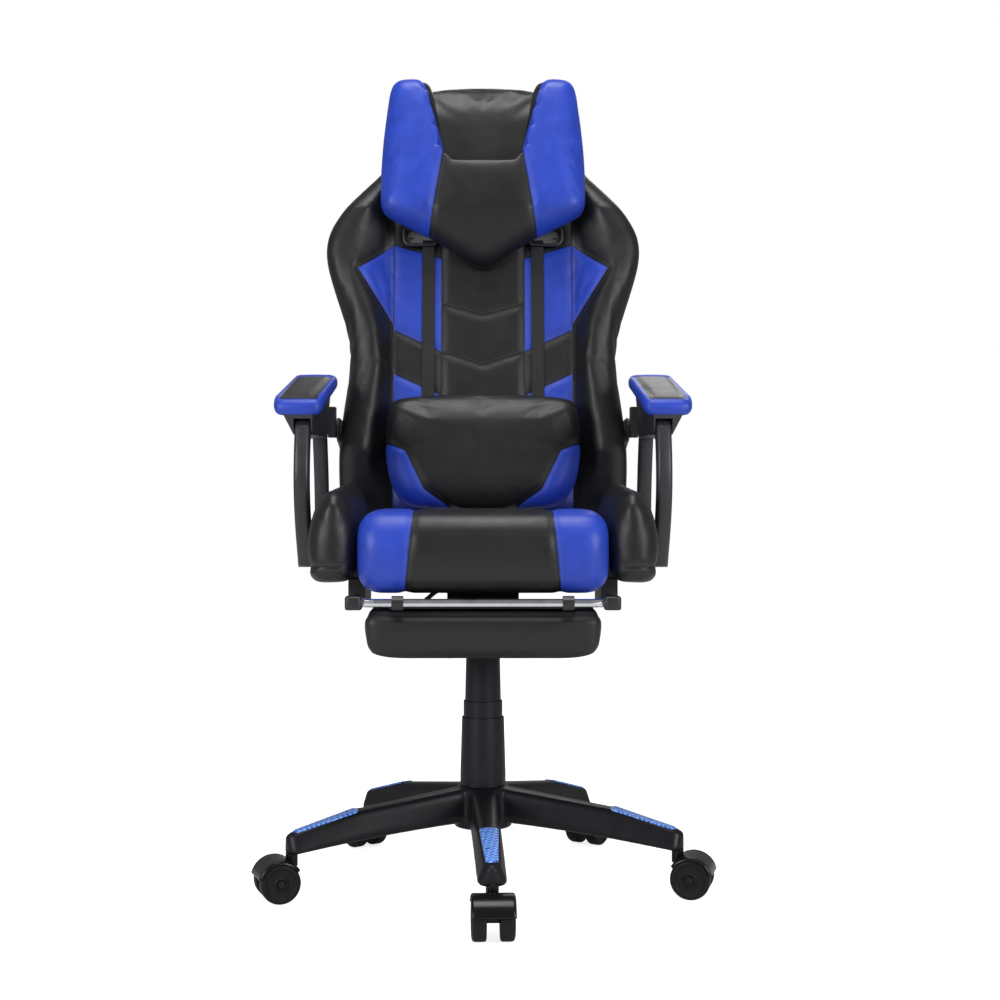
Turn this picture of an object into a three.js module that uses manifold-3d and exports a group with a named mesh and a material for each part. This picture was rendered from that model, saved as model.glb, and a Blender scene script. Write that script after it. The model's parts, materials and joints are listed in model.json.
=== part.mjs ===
// Gaming chair: five-arm base on twin-wheel casters, gas lift, rocking seat with a pull-out footrest,
// reclining bucket back, and arm rests carried by a parallel linkage between the seat and the back.
// Millimetres. +Z is up, the sitter looks along -Y, and +X is the sitter's left.
import * as THREE from 'three';
import { mergeVertices } from 'three/addons/utils/BufferGeometryUtils.js';
import Module from 'manifold-3d';

const wasm = await Module();
wasm.setup();

// ---- Driving dimensions -------------------------------------------------------------------------
const fitGap = 0.3;          // between fixed pieces that touch
const runGap = 0.6;          // around anything that turns or slides

const wheelRadius = 30;      // caster
const wheelWidth = 21;
const webWidth = 14;         // caster body between its two wheels
const hoodWall = 3;
const trail = 22;            // from the caster's stem to its axle
const stemRadius = 5.5;

const baseRadius = 316;      // centre of the base to the tip of an arm
const baseYaw = 2.4;         // degrees that the front arm stands off the seat's centre line
const armCount = 5;
const hubRadius = 42;
const hubHeight = 64;
const insertDepth = 2;       // recess in an arm for its trim insert

const standpipeRadius = 24;
const cylinderRadius = 14;
const rodRadius = 5;
const columnHeight = 353;    // hub underside to the top of the gas cylinder, fully raised
const liftStroke = 75;
const coverWall = 1.7;

const frameDepth = 390;
const frameTube = 16;
const cushionHalf = 178;     // seat insert
const frameWidth = 2 * cushionHalf + 44;     // seat frame, outside
const bolsterWidth = 69.5;
const seatFront = -272;
const cushionTop = 94;       // above the seat frame's underside
const bolsterTop = 137;

const backHeight = 791;      // recline axis to the top, along the back
const backLean = 8;          // degrees behind the vertical when upright
const slabHalf = cushionHalf - 28;           // centre cushion of the back
const slabThick = 60;
const seatRear = 200 - slabThick;
const wingDepth = 38;        // how far the wings stand proud of the centre cushion
const shellThick = 34;
const backTube = 10;         // radius of the back frame's tube

const legWidth = 24;         // arm rest legs
const legThick = 20;
const linkRise = 195;        // lower to upper leg pivot, upright
const linkLean = -40;
const padLength = 280;
const padWidth = 72;
const padThick = 27;
const padSlope = 10;         // degrees, front end low

const railHalf = cushionHalf + 3;            // footrest tube, half the distance between its rails
const railRadius = 6;
const boardHalf = railHalf - 16.5;
const boardDepth = 186;
const boardThick = 68;

// ---- Levels and places that follow from them ----------------------------------------------------
const casterTop = wheelRadius * 2 + 1.2 + hoodWall;
const hubBottom = casterTop + 22.8;
const hubTop = hubBottom + hubHeight;
const stemPlace = baseRadius - 13;
const cylinderTop = hubBottom + columnHeight;
const mechanismLevel = cylinderTop - 16;       // floor of the tilt mechanism
const seatLevel = mechanismLevel + 60;         // underside of the seat frame
const rockPivot = { y: -60, z: 42 };           // above the mechanism's floor
const bracketInner = cushionHalf + 1.5 + bolsterWidth + 1.3;
const bracketWall = 4;
const legInner = bracketInner + bracketWall + 1;
const legMiddle = legInner + legWidth / 2;
const recline = { y: 210, z: 28 };             // on the seat frame
const frontPivot = { y: -65, z: 21 };
const rearPivot = { y: 180, z: 28 };
const armPivot = { y: recline.y + linkLean, z: recline.z + linkRise };
const railLevel = -32;
const barPlace = seatFront - 3;
const boardTop = railLevel - 9;

const black = { color: 0x202023, roughness: 0.5, metalness: 0 };
const leather = { color: 0x1c1c1f, roughness: 0.55, metalness: 0 };
const blueLeather = { color: 0x2440c8, roughness: 0.5, metalness: 0 };
const chrome = { color: 0xc8c9cc, roughness: 0.12, metalness: 1 };
const steel = { color: 0x2a2a2d, roughness: 0.45, metalness: 0.8 };
const plastic = { color: 0x26232a, roughness: 0.4, metalness: 0 };

// ---- Solids -------------------------------------------------------------------------------------
// Closed geometry to a solid: its corners are merged, and triangles that collapsed are left out.
function solid(geometry) {
  const bare = geometry.clone();
  bare.deleteAttribute('normal');
  bare.deleteAttribute('uv');
  const merged = mergeVertices(bare, 1e-3);
  const index = [];
  for (let i = 0; i < merged.index.count; i += 3) {
    const [a, b, c] = [merged.index.getX(i), merged.index.getX(i + 1), merged.index.getX(i + 2)];
    if (a !== b && b !== c && c !== a) index.push(a, b, c);
  }
  const vertProperties = new Float32Array(merged.attributes.position.array);
  return new wasm.Manifold(new wasm.Mesh({ numProp: 3, vertProperties, triVerts: new Uint32Array(index) }));
}

function geometryOf(body) {
  const mesh = body.getMesh();
  const geometry = new THREE.BufferGeometry();
  geometry.setAttribute('position', new THREE.BufferAttribute(new Float32Array(mesh.vertProperties), 3));
  geometry.setIndex(new THREE.BufferAttribute(new Uint32Array(mesh.triVerts), 1));
  geometry.computeVertexNormals();
  return geometry;
}

const join = (...parts) => parts.reduce((sum, part) => sum.add(part));
const cut = (body, ...tools) => tools.reduce((rest, tool) => rest.subtract(tool), body);

// Adds a named piece to a group.
function piece(group, name, body, finish) {
  const mesh = new THREE.Mesh(geometryOf(body), new THREE.MeshStandardMaterial(finish));
  mesh.name = name;
  group.add(mesh);
}

function block(x0, x1, y0, y1, z0, z1) {
  const box = new THREE.BoxGeometry(x1 - x0, y1 - y0, z1 - z0);
  return solid(box.translate((x0 + x1) / 2, (y0 + y1) / 2, (z0 + z1) / 2));
}

function upright(radius, z0, z1, x = 0, y = 0, sides = 20) {
  const rod = new THREE.CylinderGeometry(radius, radius, z1 - z0, sides).rotateX(Math.PI / 2);
  return solid(rod.translate(x, y, (z0 + z1) / 2));
}

function across(radius, x0, x1, y, z, sides = 12) {
  const [low, high] = [Math.min(x0, x1), Math.max(x0, x1)];
  const rod = new THREE.CylinderGeometry(radius, radius, high - low, sides).rotateZ(Math.PI / 2);
  return solid(rod.translate((low + high) / 2, y, z));
}

// Turned about the Z axis from [radius, z] corners listed upwards along the outside.
function turned(corners, sides = 20) {
  const profile = corners.map(([r, z]) => new THREE.Vector2(r, z));
  return solid(new THREE.LatheGeometry([...profile, profile[0]], sides).rotateX(Math.PI / 2));
}

// Outline with each corner rounded by up to the given radius.
function rounded(points, radius) {
  const corners = points.map(([a, b]) => new THREE.Vector2(a, b));
  const shape = new THREE.Shape();
  corners.forEach((corner, i) => {
    const before = corners[(i + corners.length - 1) % corners.length];
    const after = corners[(i + 1) % corners.length];
    const reach = (other) => Math.min(radius, corner.distanceTo(other) * 0.45);
    const start = corner.clone().lerp(before, reach(before) / corner.distanceTo(before));
    const end = corner.clone().lerp(after, reach(after) / corner.distanceTo(after));
    if (i === 0) shape.moveTo(start.x, start.y);
    else shape.lineTo(start.x, start.y);
    shape.quadraticCurveTo(corner.x, corner.y, end.x, end.y);
  });
  shape.closePath();
  return shape;
}

function extruded(shape, depth, bevel, curveSegments = 2) {
  return new THREE.ExtrudeGeometry(shape, {
    depth: depth - 2 * bevel, curveSegments, bevelEnabled: bevel > 0,
    bevelSize: bevel, bevelThickness: bevel, bevelOffset: -bevel, bevelSegments: 1,
  }).translate(0, 0, bevel);
}

// A side outline of (y, z) points carried from x0 to x1.
function sideways(shape, x0, x1, bevel = 0) {
  const turn = new THREE.Matrix4().makeBasis(
    new THREE.Vector3(0, 1, 0), new THREE.Vector3(0, 0, 1), new THREE.Vector3(1, 0, 0));
  const low = Math.min(x0, x1);
  return solid(extruded(shape, Math.abs(x1 - x0), bevel).applyMatrix4(turn).translate(low, 0, 0));
}

// A front outline of (x, z) points carried from y1 back to y0.
function frontways(shape, y0, y1, bevel = 0, reshape = null) {
  const geometry = extruded(shape, y1 - y0, bevel).rotateX(Math.PI / 2).translate(0, y1, 0);
  return solid(reshape ? moved(geometry, reshape) : geometry);
}

// Every corner of a geometry taken through a function of its place.
function moved(geometry, reshape) {
  const place = geometry.attributes.position;
  const point = new THREE.Vector3();
  for (let i = 0; i < place.count; i += 1) {
    reshape(point.fromBufferAttribute(place, i));
    place.setXYZ(i, point.x, point.y, point.z);
  }
  return geometry;
}

// A round bar along straight runs joined by bends of the given radius.
function bentBar(points, radius, bend, steps, sides = 8) {
  const corners = points.map((p) => new THREE.Vector3(...p));
  const path = new THREE.CurvePath();
  let from = corners[0];
  for (let i = 1; i < corners.length - 1; i += 1) {
    const before = corners[i].clone().add(corners[i - 1].clone().sub(corners[i]).setLength(bend));
    const after = corners[i].clone().add(corners[i + 1].clone().sub(corners[i]).setLength(bend));
    path.add(new THREE.LineCurve3(from, before));
    path.add(new THREE.QuadraticBezierCurve3(before, corners[i], after));
    from = after;
  }
  path.add(new THREE.LineCurve3(from, corners.at(-1)));
  const section = new THREE.Shape().absarc(0, 0, radius, 0, Math.PI * 2);
  const options = { steps, extrudePath: path, bevelEnabled: false, curveSegments: sides / 2 };
  return solid(new THREE.ExtrudeGeometry(section, options));
}

// ---- Base ---------------------------------------------------------------------------------------
const chair = new THREE.Group();
const armAngle = (i) => THREE.MathUtils.degToRad(-90 + baseYaw + (360 / armCount) * i);
const armTopAt = (r) => hubTop - 2 - 23 * THREE.MathUtils.clamp((r - hubRadius) / 164, 0, 1)
  - 28 * Math.max(0, (r - hubRadius - 164) / 102);
const armUnderAt = (r) => casterTop + 1.8 + 24 * Math.max(0, (baseRadius - r) / 230)
  + 4 * Math.sin(Math.PI * Math.min(1, r / baseRadius));
const ridgeHalfAt = (r) => 20 - 8.7 * Math.max(0, (r - hubRadius) / 266);
const insertStart = baseRadius - 114;
const insertEnd = baseRadius - 14;

// An arm along +X: a tapering bar, narrow on top and broad below, with a sloping end.
function baseArm() {
  const bar = new THREE.BoxGeometry(1, 1, 1, 4, 1, 1);
  return solid(moved(bar, (p) => {
    const upper = p.z > 0;
    const r = 20 + (baseRadius - 20 - (upper ? 8 : 0)) * (p.x + 0.5);
    p.y *= 2 * (upper ? ridgeHalfAt(r) : 26);
    p.z = upper ? armTopAt(r) : armUnderAt(r);
    p.x = r;
  }));
}

// The space or solid of a trim insert: it follows the arm's top from below to above it.
function insertShape(below, above, grow) {
  const bar = new THREE.BoxGeometry(1, 1, 1, 2, 1, 1);
  return solid(moved(bar, (p) => {
    const along = p.x + 0.5;
    const r = insertStart - grow + (insertEnd - insertStart + 2 * grow) * along;
    p.y *= 2 * (14.5 - 5.7 * along + grow);
    p.z = armTopAt(r) + (p.z > 0 ? above : -below);
    p.x = r;
  }));
}

const turnedTo = (body, angle) => body.rotate([0, 0, THREE.MathUtils.radToDeg(angle)]);

function starBase() {
  const arm = cut(baseArm(), insertShape(insertDepth, 10, fitGap),
    upright(stemRadius + runGap, 0, armTopAt(stemPlace) - 6, stemPlace, 0, 12));
  const hub = turned([[0, hubBottom], [hubRadius + 4, hubBottom], [hubRadius, hubTop - 4],
    [hubRadius - 4, hubTop], [0, hubTop]], 30);
  let star = hub;
  for (let i = 0; i < armCount; i += 1) star = star.add(turnedTo(arm, armAngle(i)));
  return cut(star, upright(standpipeRadius + fitGap, 0, hubTop + 20, 0, 0, 24));
}

const standpipeTop = hubTop + liftStroke - 19;
const cylinderBottom = cylinderTop - 275;

function standpipe() {
  const floor = hubBottom - 2;
  return cut(upright(standpipeRadius, floor, standpipeTop),
    upright(cylinderRadius + 2 * runGap, floor + 3.5, standpipeTop + 1),
    upright(rodRadius - 1 + runGap, floor - 1, floor + 4, 0, 0, 12));
}

// A telescopic sleeve: outside radii at its bottom, shoulder and top, with an even wall.
function sleeve(bottom, top, shoulder, outer, upper, wall, bore = 0) {
  const corners = [[outer, bottom], [outer, shoulder], [upper, top], [upper - wall, top],
    [outer - wall, shoulder], [outer - wall, bottom + (bore ? 2.5 : 0)]];
  if (bore) corners.push([bore, bottom + 2.5], [bore, bottom]);
  return turned(corners);
}

const upperCoverRadius = 27.8;
const midCoverRadius = upperCoverRadius + 0.6 + coverWall;
const lowerCoverRadius = midCoverRadius + 0.7 + coverWall;
const lowerCoverTop = hubTop + liftStroke + 31;

const baseGroup = new THREE.Group();
chair.add(baseGroup);
piece(baseGroup, 'star_base', starBase(), plastic);
piece(baseGroup, 'gas_standpipe', standpipe(), steel);
piece(baseGroup, 'lower_cover', sleeve(hubTop + fitGap, lowerCoverTop, hubTop + 20,
  lowerCoverRadius + 2.5, lowerCoverRadius, coverWall, standpipeRadius + 0.6), plastic);
piece(baseGroup, 'mid_cover', sleeve(lowerCoverTop - 75, lowerCoverTop + 25, lowerCoverTop - 20,
  midCoverRadius, midCoverRadius, coverWall), plastic);
piece(baseGroup, 'piston_rod', join(upright(rodRadius - 1, hubBottom - 2, hubBottom + 8, 0, 0, 12),
  upright(rodRadius, hubBottom + 2.1, cylinderBottom + 98, 0, 0, 12)), chrome);

// ---- Casters ------------------------------------------------------------------------------------
// Each stands at the origin with its stem upright and its wheels trailing along +X.
function casterFork() {
  const centre = { x: trail, z: wheelRadius };
  const hoodIn = wheelRadius + 1.2;
  const hoodOut = hoodIn + hoodWall;
  const half = webWidth / 2 + 2 + wheelWidth + 0.6;
  const arc = new THREE.Shape();
  arc.absarc(centre.x, centre.z, hoodOut, 0.25, 2.55, false);
  arc.absarc(centre.x, centre.z, hoodIn, 2.55, 0.25, true);
  const hood = solid(extruded(arc, 2 * half, 0, 3).rotateX(Math.PI / 2).translate(0, half, 0));
  const web = frontways(rounded([[centre.x - 13, centre.z - 12], [centre.x + 13, centre.z - 12],
    [centre.x + 19, centre.z + hoodIn * 0.79], [centre.x - 24, centre.z + hoodIn * 0.66]], 6),
  -webWidth / 2, webWidth / 2);
  const collar = upright(9, centre.z + 21, casterTop, 0, 0, 12);
  const stem = upright(stemRadius, casterTop - 2, armTopAt(stemPlace) - 9, 0, 0, 12);
  const axle = upright(4, -half + 1.5, half - 1.5, 0, 0, 12).rotate([90, 0, 0])
    .translate([centre.x, 0, centre.z]);
  return join(hood, web, collar.subtract(wheelSpace(centre, hoodIn)), stem, axle);
}

// Everything that the wheels sweep.
function wheelSpace(centre, radius) {
  const side = upright(radius, webWidth / 2, 60, 0, 0, 24).rotate([90, 0, 0]);
  return side.add(side.mirror([0, 1, 0])).translate([centre.x, 0, centre.z]);
}

// A wheel about the Z axis, its facets touching the rolling radius, with a dished outer face.
function casterWheel() {
  const facets = 20;
  const tread = wheelRadius / Math.cos(Math.PI / facets);
  const inner = webWidth / 2 + 2;
  const outer = inner + wheelWidth;
  const bore = 4 + runGap;
  return turned([[bore, inner], [tread, inner], [tread, outer - 3], [tread - 3, outer],
    [bore, outer - 2]], facets);
}

for (let i = 0; i < armCount; i += 1) {
  const caster = new THREE.Group();
  const angle = armAngle(i);
  caster.position.set(Math.cos(angle) * stemPlace, Math.sin(angle) * stemPlace, 0);
  caster.rotation.z = angle;
  chair.add(caster);
  piece(caster, `caster_${i + 1}_fork`, casterFork(), plastic);
  for (const [side, quarter] of [['left', 1], ['right', -1]]) {
    const axle = new THREE.Group();
    axle.position.set(trail, 0, wheelRadius);
    axle.rotation.x = -quarter * Math.PI / 2;
    caster.add(axle);
    piece(axle, `caster_${i + 1}_wheel_${side}`, casterWheel().rotate([0, 0, 9]), black);
  }
}

// ---- Gas cylinder and tilt mechanism --------------------------------------------------------------
const mechanism = new THREE.Group();
mechanism.position.z = mechanismLevel;
chair.add(mechanism);
const cylinderInMechanism = cylinderTop - mechanismLevel;
const housingHalf = 54;
const leverPivot = { x: -30, z: 32 };
const leverRadius = 3.5;
const knobPlace = -49;

function gasCylinder() {
  return cut(upright(cylinderRadius, cylinderBottom, cylinderTop),
    upright(rodRadius + 0.4, cylinderBottom - 1, cylinderBottom + 175, 0, 0, 12),
    upright(3 + 0.4, cylinderTop - 31, cylinderTop + 1, 0, 0, 12));
}

function mechanismHousing() {
  const wall = 3;
  const outline = [[-70, 10], [-56, 0], [58, 0], [70, 8], [70, 20], [20, 34], [-40, 50], [-70, 48]];
  const body = sideways(rounded(outline, 3), -housingHalf, housingHalf);
  const hollow = block(-housingHalf + wall, housingHalf - wall, -70 + wall, 70 - wall, wall, 80);
  const socket = upright(22, 0, 21);
  const lug = (y) => block(leverPivot.x - 6, leverPivot.x + 6, y - 2, y + 2, 1, leverPivot.z + 6);
  const trunnions = upright(3 + runGap, -20, 20, 0, 0, 12).rotate([90, 0, 0])
    .translate([leverPivot.x, 0, leverPivot.z]);
  const leverSlot = block(-housingHalf - 1, -housingHalf + wall + 1, -8, 8, leverPivot.z - 9, 60);
  const shell = join(cut(body, hollow, leverSlot), socket, lug(-11.5), lug(11.5));
  return cut(join(shell, across(5, -housingHalf - 7, housingHalf + 7, rockPivot.y, rockPivot.z)),
    trunnions, upright(cylinderRadius + fitGap, -1, cylinderInMechanism + fitGap),
    upright(3 + runGap, 0, 30, 0, 0, 12), upright(4 + runGap, -1, 5, 0, knobPlace, 12));
}

// A coil spring standing on the housing's floor round the tension bolt.
function tensionSpring() {
  class Helix extends THREE.Curve {
    getPoint(t, target = new THREE.Vector3()) {
      const turn = t * Math.PI * 2 * 4;
      return target.set(11 * Math.cos(turn), knobPlace + 11 * Math.sin(turn), 6 + 24 * t);
    }
  }
  const wire = new THREE.Shape().absarc(0, 0, 2, 0, Math.PI * 2);
  const options = { steps: 28, extrudePath: new Helix(), bevelEnabled: false, curveSegments: 3 };
  return solid(new THREE.ExtrudeGeometry(wire, options));
}

function tensionKnob() {
  const grip = turned([[0, -40], [14, -40], [18, -34], [18, -8], [8, -2], [0, -2]], 18);
  return join(grip, upright(4, -4, 34, 0, 0, 12));
}

function leverSaddle() {
  const body = block(leverPivot.x - 5, leverPivot.x + 5, -9, 9, leverPivot.z - 6, leverPivot.z + 6);
  const pins = upright(3, -14, 14, 0, 0, 12).rotate([90, 0, 0])
    .translate([leverPivot.x, 0, leverPivot.z]);
  const bore = across(leverRadius + runGap, leverPivot.x - 9, leverPivot.x + 9, 0, leverPivot.z, 12);
  return cut(join(body, pins), bore);
}

function heightLever() {
  const z = leverPivot.z;
  const wire = bentBar([[8, 0, z], [-66, 0, z], [-106, 0, z - 34], [-150, 0, z - 38]],
    leverRadius, 14, 14, 6);
  const grip = sideways(rounded([[-13, z - 42], [13, z - 42], [13, z - 34], [-13, z - 34]], 4),
    -158, -118, 2);
  return join(wire, grip);
}

piece(chair, 'gas_cylinder', gasCylinder(), chrome);
piece(chair, 'upper_cover', sleeve(lowerCoverTop + 5, mechanismLevel - 2, lowerCoverTop + 25,
  upperCoverRadius, 24.5, coverWall), plastic);
piece(mechanism, 'mechanism_housing', mechanismHousing(), steel);
piece(mechanism, 'tension_spring', tensionSpring(), steel);
const releasePin = upright(3, cylinderInMechanism - 26, leverPivot.z - leverRadius - 0.4, 0, 0, 12);
piece(mechanism, 'release_pin', releasePin, steel);
const knobAxle = new THREE.Group();
knobAxle.position.y = knobPlace;
mechanism.add(knobAxle);
piece(knobAxle, 'tension_knob', tensionKnob(), black);
piece(mechanism, 'lever_saddle', leverSaddle(), black);
piece(mechanism, 'height_lever', heightLever(), steel);

// ---- Seat ---------------------------------------------------------------------------------------
// Heights here are above the underside of the seat frame.
const seat = new THREE.Group();
seat.position.z = seatLevel;
chair.add(seat);
const frameHalf = frameWidth / 2;
const frameFront = seatFront + 67;
const frameRear = frameFront + frameDepth;
const mirrorX = (body) => body.mirror([1, 0, 0]);

function seatFrame() {
  const rail = 20;
  const ring = cut(block(-frameHalf, frameHalf, frameFront, frameRear, 0, frameTube),
    block(-frameHalf + rail, frameHalf - rail, frameFront + rail, frameRear - rail, -1, frameTube + 1));
  const crossRail = (y) => block(-frameHalf + 5, frameHalf - 5, y - 10, y + 10, 0, frameTube);
  return join(ring, crossRail(-75), crossRail(75));
}

function seatPlate() {
  const level = rockPivot.z + mechanismLevel - seatLevel;
  const plate = sideways(rounded([[-90, -4], [90, -4], [90, -fitGap], [-90, -fitGap]], 0.5), -95, 95);
  const ear = (side) => {
    const [inner, outer] = [side * (housingHalf + 1.5), side * (housingHalf + 5.5)];
    const [low, high] = [Math.min(inner, outer), Math.max(inner, outer)];
    return join(across(10, inner, outer, rockPivot.y, level),
      block(low, high, rockPivot.y - 10, rockPivot.y + 10, level, -2));
  };
  return cut(join(plate, ear(-1), ear(1)), across(5.6, -90, 90, rockPivot.y, level));
}

// The insert cushion: nearly flat on top, with a full roll down over the front of the frame.
function seatCushion() {
  const front = seatFront;
  const top = cushionTop;
  const shape = new THREE.Shape().moveTo(seatRear, frameTube + 2);
  shape.lineTo(frameFront - 5, frameTube + 2).lineTo(frameFront - 7, -8);
  shape.splineThru([[front + 34, -15], [front + 14, -9], [front + 2, 14], [front, 50],
    [front + 12, top - 12], [front + 44, top], [front + 100, top - 5]].map((p) => new THREE.Vector2(...p)));
  shape.lineTo(seatRear, top - 20).closePath();
  return sideways(shape, -cushionHalf, cushionHalf, 8);
}

// A side bolster: a rounded ridge beside the insert, lower towards the front.
function seatBolster() {
  const inner = cushionHalf + 1.5;
  const outer = inner + bolsterWidth;
  const top = bolsterTop;
  const side = frameHalf + 3;
  const section = rounded([[inner, frameTube + 2], [side, frameTube + 2], [side + 3, 2], [outer - 14, 2],
    [outer, 20], [outer, top - 36], [outer - 26, top], [inner + 22, top - 2], [inner, top - 50]], 10);
  return frontways(section, seatFront + 18, seatRear, 4, (p) => {
    const forward = THREE.MathUtils.clamp((-60 - p.y) / 200, 0, 1);
    p.z -= Math.max(0, p.z - 20) * 0.3 * forward * forward;
  });
}

// Steel plate outside the bolster: it carries the recline pin and both leg pins of one arm rest.
function sideBracket(leverPin) {
  const [inner, outer] = [bracketInner, bracketInner + bracketWall];
  const outline = rounded([[-84, -4], [232, -4], [238, 30], [226, 48], [196, 48], [150, 44],
    [-40, 40], [-84, 36]], 10);
  const tab = (y) => block(frameHalf - 25, outer, y - 25, y + 25, -4, -fitGap);
  const pin = (place, end) => across(6, inner, end, place.y, place.z);
  const pins = [pin(frontPivot, legInner + legWidth - 0.5), pin(rearPivot, legInner + legWidth - 0.5),
    across(8, inner - 9, outer, recline.y, recline.z)];
  if (leverPin) pins.push(pin(recline, legInner + legWidth + 4));
  return join(sideways(outline, inner, outer), tab(-20), tab(155), ...pins);
}

function footrestGuide() {
  const outline = rounded([[-190, railLevel - 9], [-60, railLevel - 9], [-60, -0.4], [-190, -0.4]], 4);
  return cut(sideways(outline, railHalf - 12, railHalf + 12),
    upright(railRadius + runGap, 0, 200, 0, 0, 12).rotate([90, 0, 0])
      .translate([railHalf, 0, railLevel]));
}

function reclineLever() {
  const [inner, outer] = [legInner + 1, legInner + legWidth + 2];
  const hub = across(12, inner, outer + 6, recline.y, recline.z);
  const arm = sideways(rounded([[recline.y + 8, recline.z - 11], [recline.y + 8, recline.z + 10],
    [recline.y - 100, recline.z + 38], [recline.y - 116, recline.z + 22]], 8), outer, outer + 6);
  return cut(join(hub, arm), across(6 + runGap, inner - 1, outer + 3, recline.y, recline.z));
}

piece(seat, 'seat_plate', seatPlate(), steel);
piece(seat, 'seat_frame', seatFrame(), steel);
piece(seat, 'seat_cushion', seatCushion(), blueLeather);
piece(seat, 'seat_bolster_left', seatBolster(), leather);
piece(seat, 'seat_bolster_right', mirrorX(seatBolster()), leather);
piece(seat, 'side_bracket_left', sideBracket(false), steel);
piece(seat, 'side_bracket_right', mirrorX(sideBracket(true)), steel);
piece(seat, 'footrest_guide_left', footrestGuide(), black);
piece(seat, 'footrest_guide_right', mirrorX(footrestGuide()), black);
piece(seat, 'recline_lever', mirrorX(reclineLever()), black);

// ---- Footrest -----------------------------------------------------------------------------------
function footrestHinge() {
  const ear = (x) => join(across(10, x - 8, x + 8, barPlace, railLevel),
    block(x - 8, x + 8, barPlace, barPlace + 24, boardTop + 0.4, railLevel));
  const plate = block(-130, 130, barPlace + 14, barPlace + 80, boardTop + 0.4, boardTop + 3);
  return cut(join(ear(-118), ear(118), plate),
    across(railRadius + 0.5, -160, 160, barPlace, railLevel));
}

const railEnd = frameRear - 35;
piece(seat, 'footrest_tube', bentBar([[-railHalf, railEnd, railLevel], [-railHalf, barPlace, railLevel],
  [railHalf, barPlace, railLevel], [railHalf, railEnd, railLevel]], railRadius, 14, 40), chrome);
piece(seat, 'footrest_hinge', footrestHinge(), steel);
const boardFront = barPlace + 13;
piece(seat, 'footrest_pad', sideways(rounded([[boardFront, boardTop - boardThick],
  [boardFront + boardDepth, boardTop - boardThick], [boardFront + boardDepth, boardTop],
  [boardFront, boardTop]], 17), -boardHalf, boardHalf, 10), leather);

// ---- Back ---------------------------------------------------------------------------------------
// Built upright about the recline axis: z runs up the back, and y=0 is the rear of its cushions.
const back = new THREE.Group();
back.position.set(0, recline.y, seatLevel + recline.z);
back.rotation.x = -THREE.MathUtils.degToRad(backLean);
chair.add(back);
const slabFront = -2 - slabThick;
const slotPlace = { x: slabHalf - 45, z: 519 };

// Half the back's width at each height: full hips, a waist, broad shoulders, and a narrow head.
const sideLine = [[87, 20], [90, 131], [82, 195], [65, 290], [72, 360], [107, 445], [116, 489],
  [108, 525], [80, 567], [23, 632]].map(([x, z]) => [slabHalf + x, z]);

function sideCurve(shape, offset) {
  shape.splineThru(sideLine.slice(1).map(([x, z]) => new THREE.Vector2(x + offset, z)));
}

function harnessSlot(side) {
  const [x, z] = [slotPlace.x * side, slotPlace.z];
  const outline = rounded([[x - 27, z - 17], [x + 27, z - 17], [x + 27, z + 17], [x - 27, z + 17]], 10);
  return frontways(outline, slabFront - 50, shellThick + 10);
}

function backCushion() {
  const top = backHeight;
  const outline = rounded([[-slabHalf, 20], [slabHalf, 20], [slabHalf, 655], [slabHalf - 5, top - 26],
    [70, top], [-70, top], [5 - slabHalf, top - 26], [-slabHalf, 655]], 22);
  return cut(frontways(outline, slabFront, -2, 8), harnessSlot(-1), harnessSlot(1));
}

// A wing: level with the centre cushion at its inner edge and standing proud at its outer edge.
function backBolster() {
  const inner = slabHalf + 0.6;
  const shape = new THREE.Shape().moveTo(inner, 20).lineTo(sideLine[0][0], 20);
  sideCurve(shape, 0);
  shape.lineTo(inner + 2, 658).lineTo(inner, 650).closePath();
  return frontways(shape, slabFront - 2, -2, 0, (p) => {
    if (p.y > slabFront) return;
    const outward = THREE.MathUtils.clamp((p.x - inner) / 60, 0, 1);
    const rise = Math.sin(Math.PI * THREE.MathUtils.clamp((p.z - 110) / 550, 0, 0.94));
    p.y -= wingDepth * outward * Math.sqrt(rise);
  });
}

function shellOutline(inset) {
  const shape = new THREE.Shape().moveTo(-sideLine[0][0] + inset, 20 + inset);
  shape.lineTo(sideLine[0][0] - inset, 20 + inset);
  sideCurve(shape, -inset);
  shape.lineTo(slabHalf - 4 - inset, 700).lineTo(slabHalf - 7 - inset, backHeight - 34 - inset);
  shape.lineTo(70, backHeight - 4 - inset).lineTo(-70, backHeight - 4 - inset);
  shape.lineTo(7 - slabHalf + inset, backHeight - 34 - inset).lineTo(4 - slabHalf + inset, 700);
  shape.splineThru(sideLine.slice(1).reverse().map(([x, z]) => new THREE.Vector2(-x + inset, z)));
  return shape.closePath();
}

// The rear panel is a tray: its floor faces backwards and its wall meets the cushions.
function backShell() {
  const tray = cut(frontways(shellOutline(0), 0, shellThick), frontways(shellOutline(12), -1, 26));
  const ring = (side) => frontways(rounded([[side * slotPlace.x - 32, slotPlace.z - 22],
    [side * slotPlace.x + 32, slotPlace.z - 22], [side * slotPlace.x + 32, slotPlace.z + 22],
    [side * slotPlace.x - 32, slotPlace.z + 22]], 12), 0, shellThick - 2);
  return cut(join(tray, ring(-1), ring(1)), harnessSlot(-1), harnessSlot(1),
    across(backTube + runGap, -260, 260, 13, 50));
}

function backFrame() {
  const side = sideLine[3][0] - 25;
  const [shoulder, head] = [slabHalf + 20, slabHalf - 32];
  const hoop = bentBar([[-side, 13, 40], [-side, 13, 420], [-shoulder, 13, 560], [-head, 13, 700],
    [head, 13, 700], [shoulder, 13, 560], [side, 13, 420], [side, 13, 40]], backTube, 30, 32);
  const end = bracketInner - 8.5;
  return join(hoop, across(backTube, -end, end, 13, 50), across(backTube, -side, side, 13, 250));
}

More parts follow.
